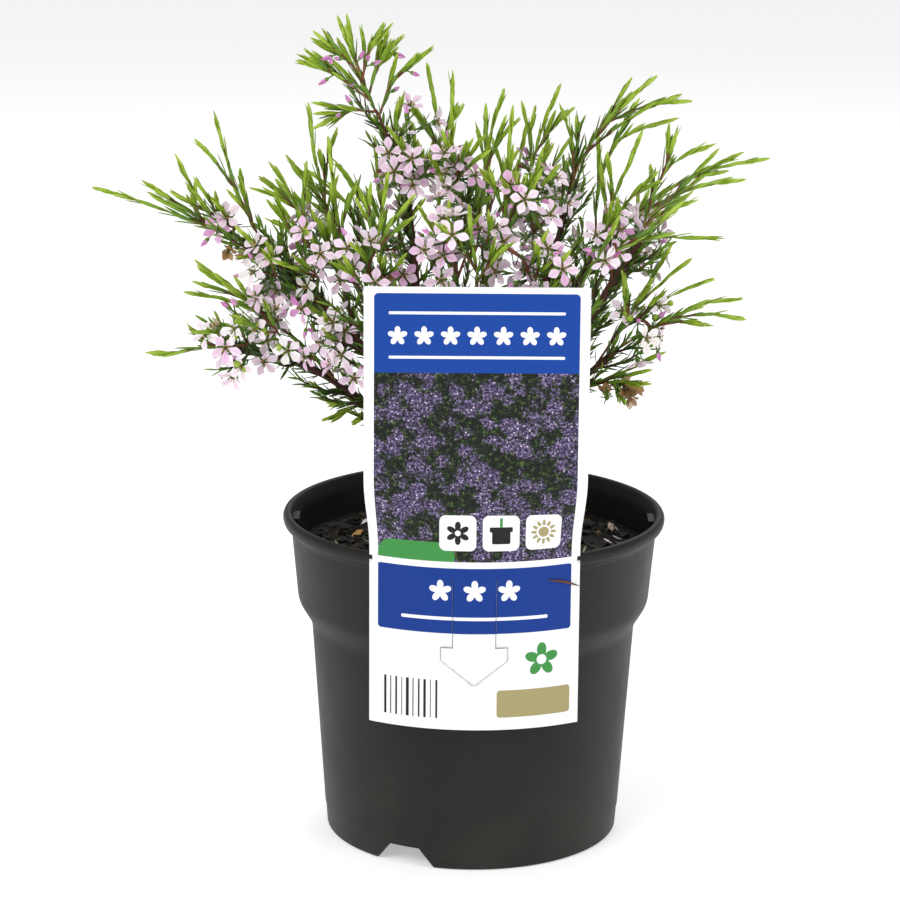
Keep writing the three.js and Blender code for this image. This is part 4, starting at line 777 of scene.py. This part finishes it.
at_root = {"From Min": 0.0, "From Max": 0.22, "To Min": 0.75, "To Max": 0.0}
claw = add_node(tree, "ShaderNodeMapRange", at_root, {"Value": lengthwise})
claw_green = {7: to_linear("#8d8a3c")}
layers = {"Factor": claw, 6: streaked}
with_claw = add_node(tree, "ShaderNodeMix", claw_green, layers, data_type="RGBA").outputs[2]
# Fine veins, 0.45 mm apart where the petal is widest, ripple it lengthwise.
vein_wave = add_node(tree, "ShaderNodeMath", {1: 22.0}, {0: sideways}, operation="MULTIPLY")
veins = add_node(tree, "ShaderNodeMath", links={0: vein_wave}, operation="SINE")
crinkle = add_node(tree, "ShaderNodeTexNoise", {"Scale": 1 / (1.5 * MM), "Detail": 2}, {"Vector": place})
relief = add_node(tree, "ShaderNodeMath", {1: 0.3}, {0: veins, 2: crinkle}, operation="MULTIPLY_ADD")
ripple = add_node(tree, "ShaderNodeBump", {"Strength": 0.3, "Distance": 0.12 * MM}, {"Height": relief})
link_all(tree, shader, {"Base Color": with_claw, "Normal": ripple})

# The flower's centre: a green and brown disc with five stamens that end in yellow anthers.
CENTRE_COLOURS = [(0.1, "#3c4a1a"), (0.35, "#6b6a26"), (0.6, "#b9852a"), (0.9, "#e0b04a")]
flower_centre = natural_material(
    "flower_disc_and_anthers", 0.5, 1.42, 0.6, (0, 0.2), CENTRE_COLOURS, Detail=2
)

# Heights along the flower's axis and the radii there, in mm, and the parts between the petals.
CALYX = ((-1.9, -1.3, -0.5, 0.1), (0.3, 0.8, 0.95, 0.5))
DISC = ((0.0, 0.35, 0.6, 0.75), (0.75, 0.72, 0.45, 0.1))
SEPAL = {"length": 2.3, "width": 1.0, "below": 0.9, "out": 0.5, "rise": 0.35}
FILAMENT = {"foot": (0.4, 0.3), "reach": (0.65, 0.95), "radii": (0.09, 0.08)}
ANTHER = ((-0.05, 0.15, 0.45), (0.12, 0.28, 0.1))
STALK_RADII = (0.36, 0.26, 0.3)
BUD = {"cup": ((-0.6, 0.1, 0.9), (0.25, 0.75, 0.7)), "stalk": (0.3, 0.25), "length": 3.7, "width": 1.7}
FLOWER_MATERIALS = [young_stem, leaf, petal_material, flower_centre]


def nearest_point(lines, target):
    """The nearest point to a target on any of the lines, and the heading there."""
    best = None
    for line in lines:
        gaps = np.linalg.norm(line - target, axis=1)
        i = int(np.argmin(gaps))
        if best is None or gaps[i] < best[0]:
            best = (gaps[i], line[i], unit(line[min(i + 1, len(line) - 1)] - line[max(i - 1, 0)]))
    return best[1:]


def add_bloom(growth, centre, facing, first, rng, age, cup, size=1.0):
    """Five petals, five sepals under them, and the disc and stamens in their middle."""
    other = np.cross(facing, first)
    spins = 2 * np.pi * np.arange(5) / 5 + rng.normal(0, 0.05, 5)
    out = np.outer(np.cos(spins), first) + np.outer(np.sin(spins), other)
    lean = np.radians(cup + rng.normal(0, 6, 5))[:, None]
    axes = out * np.cos(lean) + facing * np.sin(lean)
    tops = facing * np.cos(lean) - out * np.sin(lean) + rng.normal(0, 0.12, (5, 3))
    lengths = size * PETAL["length"] * rng.uniform(0.92, 1.06, 5)
    widths = size * PETAL["width"] * rng.uniform(0.9, 1.08, 5)
    tones = age + rng.normal(0, 0.04, 5)
    add_blades(growth, centre + PETAL["root"] * out, axes, tops, lengths, widths,
               rng.normal(-0.06, 0.07, 5), PETAL_OUTLINE, PETAL_SECTION, BLOSSOM, tones, 0.22)
    between = unit(np.roll(out, 1, axis=0) + out)
    low = centre - SEPAL["below"] * facing + SEPAL["out"] * between
    add_blades(growth, low, between + SEPAL["rise"] * facing, facing - SEPAL["rise"] * between,
               SEPAL["length"], SEPAL["width"], 0.1, LEAF_OUTLINE, LEAF_SECTION, GREENERY,
               np.full(5, 0.35))
    for (heights, radii), material, tone in ((CALYX, GREENERY, 0.35), (DISC, CENTRE, 0.05)):
        add_tube(growth, centre + np.outer(heights, facing), radii, 8, material, tone)
    for way in between:
        foot = centre + FILAMENT["foot"][0] * way + FILAMENT["foot"][1] * facing
        head = foot + FILAMENT["reach"][0] * way + FILAMENT["reach"][1] * facing
        add_tube(growth, np.array([foot, head]), FILAMENT["radii"], 4, CENTRE, 0.3)
        anther = head + np.outer(ANTHER[0], 0.4 * way + facing)
        add_tube(growth, anther, ANTHER[1], 5, CENTRE, rng.uniform(0.3, 0.75))


def add_stalk(growth, root, centre, facing, rng):
    """A thin stalk that leaves the twig and turns into the flower's back, with a few bracts."""
    back = centre - 1.6 * facing
    bend = back - 0.35 * np.linalg.norm(back - root) * facing
    line = trace([root, 0.5 * (root + bend) + 0.15 * (bend - root), back], 6)
    add_tube(growth, line, STALK_RADII, 6, GREENERY, 0.3)
    spaced = np.arange(1.0, length_of(line) - 1.5, BRACT["spacing"])
    add_leaves(growth, line, spaced, BRACT, rng)


def add_bud(growth, root, tip, rng):
    """A closed bud on its own stalk: five deep pink petals wrapped to a point in a green cup."""
    axis = unit(tip - root)
    first = square_to(axis, rng)
    spins = 2 * np.pi * np.arange(5) / 5
    out = np.outer(np.cos(spins), first) + np.outer(np.sin(spins), np.cross(axis, first))
    add_tube(growth, np.array([root, tip]), BUD["stalk"], 5, GREENERY, 0.35)
    heights, radii = BUD["cup"]
    add_tube(growth, tip + np.outer(heights, axis), radii, 8, GREENERY, 0.4)
    size = rng.uniform(0.75, 1.1)
    add_blades(growth, tip + 0.3 * out, axis + 0.3 * out, 0.3 * axis - out, size * BUD["length"],
               size * BUD["width"], 0.36, BUD_OUTLINE, PETAL_SECTION, BLOSSOM,
               rng.uniform(0.0, 0.1, 5), 0.2)


# Each bunch gets more blooms than the frame holds, by a share of them, with some withered, and
# three buds and four short leafy shoots. In the older bunches some blooms have set seed.
EXTRA_BLOOMS = 0.75
BUDS = 3
LEAFY_TIPS = 4
CAPSULES = 4
WITHERED = {"share": 0.07, "share_when_old": 0.4, "age": (0.82, 1.0), "cup": (35, 65), "size": 0.75}
OLDER_BUNCHES = ("blooms_low_left", "blooms_left_lower", "blooms_low_right")
DRY_TUFT = {"node": "blooms_low_right", "centre": (52, -16, 168), "blooms": 6, "size": 0.85}
carriers = [*limb_lines.values(), *(line for lines in spray_lines.values() for line in lines)]


def add_capsule(growth, root, centre, rng):
    """A young seed capsule: round, yellow green, on the stalk of a bloom that has dropped."""
    axis = unit(centre - root)
    size = rng.uniform(0.85, 1.15)
    add_tube(growth, np.array([root, centre]), (0.3, 0.3), 5, GREENERY, 0.4)
    heights, radii = size * np.array(((-1.2, -0.7, 0.0, 0.7, 1.2), (0.3, 1.0, 1.3, 1.15, 0.5)))
    add_tube(growth, centre + np.outer(heights, axis), radii, 10, GREENERY, 0.72)


rng = np.random.default_rng(51)
for node in BUNCHES:
    bunch = new_growth()
    places = bloom_places(node)
    middle = np.mean([centre for centre, _, _ in places], axis=0)
    stem_point, stem_heading = nearest_point(carriers, middle)
    heart = middle + 5 * unit(CROWN_CENTRE - middle)
    twig = trace([stem_point, 0.5 * (stem_point + heart) + 2 * stem_heading, heart, middle], 8)
    add_tube(bunch, twig, (0.8, 0.6, 0.45, 0.3), 8, WOOD, 0.25)
    add_leaves(bunch, twig, np.arange(2, length_of(twig), 1.3), OLD_LEAF, rng)
    older = node in OLDER_BUNCHES
    for centre, facing, first in places:
        root, _ = nearest_point([twig], centre - 6 * facing)
        age = rng.uniform(0.5, 0.72) if older or rng.uniform() < 0.12 else rng.uniform(0.12, 0.48)
        add_bloom(bunch, centre, facing, first, rng, age, rng.uniform(4, 22))
        add_stalk(bunch, root, centre, facing, rng)
    for _ in range(int(EXTRA_BLOOMS * len(places))):
        near, facing, first = places[rng.integers(len(places))]
        aside = square_to(facing, rng) * rng.uniform(7, 10)
        shift = aside - rng.uniform(2, 6) * facing
        centre = near + shift
        away = unit(facing + 0.12 * shift)
        across = square_to(away, rng)
        if centre[1] < FRONT["bloom"]:
            continue
        root, _ = nearest_point([twig], centre - 6 * away)
        if rng.uniform() < WITHERED["share_when_old" if older else "share"]:
            age, cup = rng.uniform(*WITHERED["age"]), rng.uniform(*WITHERED["cup"])
            add_bloom(bunch, centre, away, across, rng, age, cup, WITHERED["size"])
        else:
            add_bloom(bunch, centre, away, across, rng, rng.uniform(0.2, 0.62), rng.uniform(0, 35))
        add_stalk(bunch, root, centre, away, rng)
    for _ in range(BUDS):
        near, facing, _ = places[rng.integers(len(places))]
        tip = near + square_to(facing, rng) * rng.uniform(4, 8)
        root, _ = nearest_point([twig], tip)
        add_bud(bunch, root + 0.3 * (tip - root), tip, rng)
    for _ in range(LEAFY_TIPS):
        near, facing, _ = places[rng.integers(len(places))]
        root, _ = nearest_point([twig], near - 8 * facing)
        aim = unit(facing + 0.5 * unit(rng.normal(0, 1, 3)) + np.array([0, 0, 0.7]))
        tip = root + rng.uniform(13, 21) * aim
        if tip[1] > FRONT["leafy_tip"]:
            bow = 0.5 * (root + tip) + rng.normal(0, 0.8, 3)
            add_shoot(bunch, trace([root, bow, tip], 8), rng, 0.1)
    if older:
        for _ in range(CAPSULES):
            near, facing, _ = places[rng.integers(len(places))]
            add_capsule(bunch, near - 5 * facing, near + rng.uniform(-4, 4, 3), rng)
    if node == DRY_TUFT["node"]:
        for _ in range(DRY_TUFT["blooms"]):
            centre = np.array(DRY_TUFT["centre"]) + rng.normal(0, 2.2, 3)
            away = unit(rng.normal(0, 1, 3) + np.array([0.5, -0.8, 0]))
            across = square_to(away, rng)
            root, _ = nearest_point(carriers, centre)
            add_bloom(bunch, centre, away, across, rng, rng.uniform(0.9, 1.1), 65, DRY_TUFT["size"])
            add_stalk(bunch, root, centre, away, rng)
    if node == "blooms_top":
        # Buds also sit close to the shoots of the top spray.
        for line in spray_lines["top"]:
            for at in rng.uniform(0.2, 0.7, 2):
                (root,), (heading,) = along(line, [at * length_of(line)])
                side = square_to(heading, rng)
                add_bud(bunch, root, root + 2.5 * side + 1.5 * heading, rng)
    grown(node.replace("blooms", "flowers"), bunch, FLOWER_MATERIALS, "petal", node)

# Litter on the mix: petals and leaves that dropped from the plant and dried where they lie, thin,
# faded and curled. The piece has two materials: 0 is the leaf and 1 the petal.
LITTER_COUNT = 90
LITTER = {"lift": 1.4, "petals": 0.6, "petal": (3, 4.6), "petal_width": (1.2, 2.6), "leaf": (5, 8)}
rng = np.random.default_rng(61)
litter = new_growth()
for _ in range(LITTER_COUNT):
    radius = loose_edge * math.sqrt(rng.uniform(0.05, 1))
    angle = rng.uniform(0, 2 * math.pi)
    spot = np.array([radius * math.sin(angle), -radius * math.cos(angle), 0])
    spot[2] = soil_height(spot[0], spot[1]) + LITTER["lift"]
    axis = unit(np.array([*rng.normal(0, 1, 2), rng.normal(0, 0.15)]))[None]
    top = unit(np.array([*rng.normal(0, 0.3, 2), 1]))[None]
    if rng.uniform() < LITTER["petals"]:
        length, width = rng.uniform(*LITTER["petal"]), rng.uniform(*LITTER["petal_width"])
        curl, age = rng.uniform(0.2, 0.8), rng.uniform(0.4, 0.95)
        add_blades(litter, spot[None], axis, top, length, width, curl,
                   PETAL_OUTLINE, PETAL_SECTION, 1, [age], 0.22)
    else:
        length, tone = rng.uniform(*LITTER["leaf"]), rng.uniform(0.0, 0.5)
        add_blades(litter, spot[None], axis, top, length, 0.9, 0.1, LEAF_OUTLINE, LEAF_SECTION, 0, [tone])
grown("fallen_petals", litter, [leaf, petal_material], "petal")

# The plant label: a printed sheet of white polypropylene, 77 by 158 mm, held in front of the rim.
# It stands flat above the rim and wraps round the collar below it, with a die-cut tongue.
LABEL = {"width": 77, "thickness": 0.4, "top": 217, "bottom": 59, "bend_start": 150, "bend": 28}
LABEL_RADIUS = RIM_RADIUS + 0.6
NICK = {"z": 119, "depth": 1.2, "height": 1.6}
TONGUE = {"neck": 7.5, "head": 11.8, "top": 114, "shoulder": 89, "foot": 84.5, "tip": 75.5, "slit": 0.2}


def bent(points):
    """A flat label's points (across, proud, z) laid on the pot: flat above the rim, then wrapped."""
    across, proud, z = np.asarray(points, float).T
    ease = np.clip((LABEL["bend_start"] - z) / LABEL["bend"], 0, 1)
    ease = ease**2 * (3 - 2 * ease)
    angle = across / LABEL_RADIUS
    radius = LABEL_RADIUS + proud
    flat = np.stack([across, -radius, z], axis=1)
    wrapped = np.stack([radius * np.sin(angle), -radius * np.cos(angle), z], axis=1)
    return flat + (wrapped - flat) * ease[:, None]


def sheet_grid(columns, rows):
    """A thin flat sheet as a closed grid, in the label's flat plane."""
    xs = np.linspace(-LABEL["width"] / 2, LABEL["width"] / 2, columns + 1)
    zs = np.linspace(LABEL["bottom"], LABEL["top"], rows + 1)
    half = LABEL["thickness"] / 2
    points = [(x, y, z) for y in (-half, half) for z in zs for x in xs]
    wide = columns + 1
    back = wide * (rows + 1)
    faces = []
    for j in range(rows):
        for i in range(columns):
            a = j * wide + i
            faces.append((a, a + 1, a + wide + 1, a + wide))
            faces.append((back + a, back + a + wide, back + a + wide + 1, back + a + 1))
    for i in range(columns):
        top = rows * wide + i
        faces.append((i + 1, i, back + i, back + i + 1))
        faces.append((top, top + 1, back + top + 1, back + top))
    for j in range(rows):
        left, right = j * wide, j * wide + columns
        faces.append((left, left + wide, back + left + wide, back + left))
        faces.append((right + wide, right, back + right, back + right + wide))
    return points, faces


def slit_cutter():
    """The arrow-shaped slit round the tongue, as a thin band of blocks in the flat sheet."""
    t = TONGUE
    line = [(t["neck"], t["top"]), (t["neck"], t["shoulder"]), (t["head"], t["shoulder"]),
            (t["head"], t["foot"]), (0, t["tip"])]
    loop = line + [(-x, z) for x, z in reversed(line[:-1])]
    bodies = []
    for (x0, z0), (x1, z1) in zip(loop, loop[1:]):
        way = unit(np.array([x1 - x0, z1 - z0], float))
        wide = np.array([-way[1], way[0]]) * t["slit"] / 2
        ends = [np.array([x0, z0]) - way * t["slit"] / 2, np.array([x1, z1]) + way * t["slit"] / 2]
        ring = [ends[0] - wide, ends[1] - wide, ends[1] + wide, ends[0] + wide]
        points = [(x, 2, z) for x, z in ring] + [(x, -2, z) for x, z in ring]
        bodies.append((points, block((1, 1, 1), (0, 0, 0))[1]))
    return bodies


def inside(tree, place, centre, half, corner):
    """A mask for a rounded rectangle on the flat label, sizes in millimetres."""
    kind = "ShaderNodeVectorMath"
    offset = add_node(tree, kind, {1: (*centre, 0)}, {0: place}, operation="SUBTRACT")
    folded = add_node(tree, kind, links={0: offset}, operation="ABSOLUTE")
    inset = (half[0] - corner, half[1] - corner, 1)
    past = add_node(tree, kind, {1: inset}, {0: folded}, operation="SUBTRACT")
    outer = add_node(tree, kind, {1: (0, 0, 0)}, {0: past}, operation="MAXIMUM")
    gap = add_node(tree, kind, links={0: outer}, operation="LENGTH").outputs["Value"]
    return add_node(tree, "ShaderNodeMath", {1: corner}, {0: gap}, operation="LESS_THAN")


def petal_mask(tree, place, centre, radius, petals):
    """A mask for a plain round-petalled blossom: its edge swings in and out round the centre."""
    offset = add_node(
        tree, "ShaderNodeVectorMath", {1: (*centre, 0)}, {0: place}, operation="SUBTRACT"
    )
    parts = add_node(tree, "ShaderNodeSeparateXYZ", links={"Vector": offset}).outputs
    angle = add_node(tree, "ShaderNodeMath", links={0: parts["X"], 1: parts["Y"]}, operation="ARCTAN2")
    spun = add_node(tree, "ShaderNodeMath", {1: petals / 2}, {0: angle}, operation="MULTIPLY")
    wave = add_node(tree, "ShaderNodeMath", links={0: spun}, operation="COSINE")
    fold = add_node(tree, "ShaderNodeMath", links={0: wave}, operation="ABSOLUTE")
    swing = {1: 0.6 * radius, 2: 0.4 * radius}
    edge = add_node(tree, "ShaderNodeMath", swing, {0: fold}, operation="MULTIPLY_ADD")
    gap = add_node(tree, "ShaderNodeVectorMath", links={0: offset}, operation="LENGTH").outputs["Value"]
    return add_node(tree, "ShaderNodeMath", links={0: gap, 1: edge}, operation="LESS_THAN")


def overprinted(tree, ground, layers):
    """The colour of a ground under layers of (ink, mask); a ground or ink is hex, socket or node."""
    for ink, mask in layers:
        layer = add_node(tree, "ShaderNodeMix", links={"Factor": mask}, data_type="RGBA")
        for socket, colour in ((6, ground), (7, ink)):
            if isinstance(colour, str):
                layer.inputs[socket].default_value = to_linear(colour)
            else:
                link_all(tree, layer, {socket: colour})
        ground = layer.outputs[2]
    return ground


label_sheet, tree, shader = new_material(
    "printed_white_polypropylene_sheet", 0.45, 1.49, Specular_IOR_Level=0.25
)
# The print is laid out in millimetres across and up the flat sheet, which the UV map holds.
flat_place = add_node(tree, "ShaderNodeUVMap", uv_map="print")
scaled = add_node(tree, "ShaderNodeVectorMath", {1: (100, 100, 0)}, {0: flat_place}, operation="MULTIPLY")
place = add_node(tree, "ShaderNodeVectorMath", {1: (-50, 0, 0)}, {0: scaled}, operation="ADD")
# A bed of shrubs in flower: dark mottled leafage, and on it drifts of violet blossom in mounds of
# about 5 mm, whose lit tips are pale specks of 0.8 mm.
leafage, florets, drifts = (
    add_node(
        tree,
        "ShaderNodeTexNoise",
        {"Scale": scale, "Detail": detail, "Roughness": rough},
        {"Vector": place},
    )
    for scale, detail, rough in ((0.55, 8, 0.8), (0.95, 5, 0.8), (0.07, 3, 0.6))
)
LEAFAGE_COLOURS = [(0.36, "#040604"), (0.5, "#0d140d"), (0.56, "#243619"), (0.66, "#6d8546")]
VIOLETS = [(0.4, "#131120"), (0.5, "#352d49"), (0.58, "#75668f"), (0.7, "#bba8ca")]
LIT_VIOLETS = [(0.1, "#504470"), (0.6, "#9d8bb6"), (0.9, "#e9dbee")]
green = add_node(tree, "ShaderNodeValToRGB", links={"Fac": leafage}, stops=LEAFAGE_COLOURS)
violet = add_node(tree, "ShaderNodeValToRGB", links={"Fac": florets}, stops=VIOLETS)
jitter = {0: leafage.outputs["Color"], 2: place}
warp = add_node(tree, "ShaderNodeVectorMath", {1: (5, 5, 0)}, jitter, operation="MULTIPLY_ADD")
mounds = add_node(tree, "ShaderNodeTexVoronoi", {"Scale": 0.19}, {"Vector": warp})
swell = add_node(tree, "ShaderNodeMath", {1: -0.5}, {0: mounds, 2: drifts}, operation="MULTIPLY_ADD")
height = add_node(tree, "ShaderNodeMath", links={0: florets, 1: swell}, operation="ADD")
blossom, lit = (
    add_node(tree, "ShaderNodeMapRange", {"From Min": low, "From Max": high}, {"Value": height})
    for low, high in ((0.74, 0.81), (0.76, 0.84))
)
specks = add_node(tree, "ShaderNodeTexVoronoi", {"Scale": 1.25}, {"Vector": place})
round_speck = add_node(tree, "ShaderNodeMath", {1: 0.36}, {0: specks}, operation="LESS_THAN")
lit_speck = add_node(tree, "ShaderNodeMath", links={0: round_speck, 1: lit}, operation="MULTIPLY")
pale = add_node(
    tree, "ShaderNodeValToRGB", links={"Fac": specks.outputs["Color"]}, stops=LIT_VIOLETS
)
field = overprinted(tree, green, [(violet, blossom), (pale, lit_speck)])
BLUE = "#03409a"
DEEP_BLUE = "#02358a"
KHAKI = "#a59a6c"
GREEN = "#3f8f45"
INK = "#1c1c1e"
PAPER = "#f3f4f6"
# Each layer: its ink and centre, then half sizes and corner, or for a blossom radius and petals.
prints = [
    (BLUE, (0, 154.5), (35, 60.3), 1.6),
    (field, (0, 153.5), (35, 33.7), 0.2),
    (GREEN, (-21, 121.5), (14, 5.5), 5.4),
    (PAPER, (0, 118.8), (35, 1.3), 0.2),
    (DEEP_BLUE, (0, 106), (35, 11.8), 1.2),
    *((PAPER, (x, 130.5), (6.4, 6.4), 2.2) for x in (-6, 9, 24)),
    (INK, (-6, 130.5), 4.2, 6),
    (PAPER, (-6, 130.5), (1.0, 1.0), 1.0),
    (INK, (9, 129), (3.2, 2.4), 0.6),
    (INK, (9, 131.8), (4.0, 0.9), 0.4),
    (GREEN, (9, 134.2), (0.5, 1.8), 0.4),
    (KHAKI, (24, 130.5), 4.6, 12),
    (PAPER, (24, 130.5), (2.6, 2.6), 2.6),
    (KHAKI, (24, 130.5), (1.9, 1.9), 1.9),
    *((PAPER, (-27 + 9 * i, 200), 3.4, 5) for i in range(7)),
    (PAPER, (0, 192.6), (30, 0.5), 0.4),
    (PAPER, (0, 208), (30, 0.5), 0.4),
    *((PAPER, (x, 109.5), 4.0, 5) for x in (-12, 0, 12)),
    (PAPER, (0, 99.6), (26, 0.6), 0.5),
    (KHAKI, (21.5, 68.5), (13.5, 5), 1.2),
    (GREEN, (24, 84), 6.2, 5),
    (PAPER, (24, 84), (1.8, 1.8), 1.8),
]
STRIPES = (0.9, 0.4, 0.7, 0.3, 1.1, 0.4, 0.6, 0.9, 0.3, 0.7)
prints += [(INK, (-32 + 2.1 * i, 70), (wide / 2, 7), 0.05) for i, wide in enumerate(STRIPES)]
masked = [
    (ink, (petal_mask if np.isscalar(size) else inside)(tree, place, centre, size, last))
    for ink, centre, size, last in prints
]
printed = overprinted(tree, PAPER, masked)
# Only the front carries ink: the attribute is 1 there and 0 on the back and the edges.
front = add_node(tree, "ShaderNodeAttribute", attribute_name="front").outputs["Fac"]
face_colour = overprinted(tree, PAPER, [(printed, front)])
place = add_node(tree, "ShaderNodeTexCoord").outputs["Object"]
ripples = add_node(tree, "ShaderNodeTexNoise", {"Scale": 1 / (35 * MM), "Detail": 1}, {"Vector": place})
slack = add_node(tree, "ShaderNodeBump", {"Strength": 0.35, "Distance": 1.5 * MM}, {"Height": ripples})
link_all(tree, shader, {"Base Color": face_colour, "Normal": slack})

label = mesh_object("printed_label", *sheet_grid(44, 80), [label_sheet])
nick = (2 * NICK["depth"], 4, NICK["height"])
nicks = [block(nick, (side * LABEL["width"] / 2, 0, NICK["z"])) for side in (-1, 1)]
cut_or_join(label, nicks + slit_cutter(), "DIFFERENCE", overlapping=True)
mesh = label.data
flat_points = np.array([v.co for v in mesh.vertices]) / MM
mesh.uv_layers.new(name="print")
corner_points = flat_points[[loop.vertex_index for loop in mesh.loops]]
prints_at = (corner_points[:, [0, 2]] + (50, 0)) / 100
mesh.uv_layers["print"].data.foreach_set("uv", prints_at.astype(np.float32).reshape(-1))
front_faces = [1.0 if p.normal.y < -0.9 else 0.0 for p in mesh.polygons]
mesh.attributes.new("front", "FLOAT", "FACE").data.foreach_set("value", front_faces)
depth_in_tongue = np.clip((TONGUE["top"] - flat_points[:, 2]) / (TONGUE["top"] - TONGUE["tip"]), 0, 1)
# The tongue, inside its slit, stands up to 0.9 mm proud of the sheet at its tip.
half_tongue = np.where(flat_points[:, 2] > TONGUE["shoulder"], TONGUE["neck"], TONGUE["head"])
in_tongue = np.abs(flat_points[:, 0]) < half_tongue - TONGUE["slit"]
in_tongue &= flat_points[:, 2] > TONGUE["tip"] - 0.1 + 0.75 * np.abs(flat_points[:, 0])
proud = -flat_points[:, 1] + np.where(in_tongue, 0.9 * depth_in_tongue**2, 0)
laid = bent(np.stack([flat_points[:, 0], proud, flat_points[:, 2]], axis=1))
mesh.vertices.foreach_set("co", (laid * MM).astype(np.float32).reshape(-1))
mesh.update()
install(label, "label_film", "plant_label")

# A stray needle: one dry brown leaf, 12 mm long, has dropped from the plant on the label and
# clings to its blue band.
needle = bent([(26, 0.55, 112.6), (30, 0.6, 112.0), (34, 0.6, 110.8), (38, 0.75, 109.2)])
stray = new_growth()
add_tube(stray, needle, (0.15, 0.42, 0.4, 0.12), 6, WOOD, 0.45)
grown("stray_needle", stray, [bark], "leaf")

# The stage: a pale seamless floor that reaches 30 m each way, so that its far edge lies level with
# the horizon, a bright sky of soft light and three broad studio lamps.
FLOOR_HALF = 30000
FLOOR_Z = -0.2
floor_paint, tree, shader = new_material("matt_white_backdrop_paper", 0.9)
shader.inputs["Base Color"].default_value = to_linear("#f4f4f4")
shader.inputs["Emission Color"].default_value = to_linear("#ffffff")
shader.inputs["Emission Strength"].default_value = 0.42
floor_points = [(x * FLOOR_HALF, y * FLOOR_HALF, FLOOR_Z) for x, y in ((-1, -1), (1, -1), (1, 1), (-1, 1))]
floor = mesh_object("floor", floor_points, [(0, 1, 2, 3)], [floor_paint])

world = bpy.data.worlds.new("white_studio")
bpy.context.scene.world = world
world.use_nodes = True
world.node_tree.nodes["Background"].inputs["Color"].default_value = to_linear("#ffffff")
world.node_tree.nodes["Background"].inputs["Strength"].default_value = 0.5

# Each soft box is square and faces the middle of the object: its place, side and power.
AIM = Vector((0, 0, 0.16))
SOFT_BOXES = {
    "key": ((-0.9, -1.2, 1.4), 0.9, 13),
    "fill": ((1.1, -1.0, 0.9), 0.9, 7),
    "rear": ((0.2, 1.2, 1.3), 0.8, 6),
}
for name, (place, size, power) in SOFT_BOXES.items():
    light = bpy.data.lights.new(name, "AREA")
    light.size = size
    light.energy = power
    lamp = bpy.data.objects.new(name, light)
    lamp.location = place
    lamp.rotation_euler = (AIM - lamp.location).to_track_quat("-Z", "Y").to_euler()
    bpy.context.scene.collection.objects.link(lamp)

# The camera stands where the photograph was taken from: 1.19 m away and 14 degrees above level.
camera_data = bpy.data.cameras.new("camera")
camera_data.lens = 130.13
camera_data.sensor_width = 36
camera = bpy.data.objects.new("camera", camera_data)
tilt = Matrix.Rotation(math.radians(75.74), 4, "X") @ Matrix.Rotation(math.radians(0.42), 4, "Z")
camera.matrix_world = Matrix.Translation((-0.0089, -1.1502, 0.4345)) @ tilt
bpy.context.scene.collection.objects.link(camera)
bpy.context.scene.camera = camera
bpy.context.scene.view_settings.view_transform = "Standard"
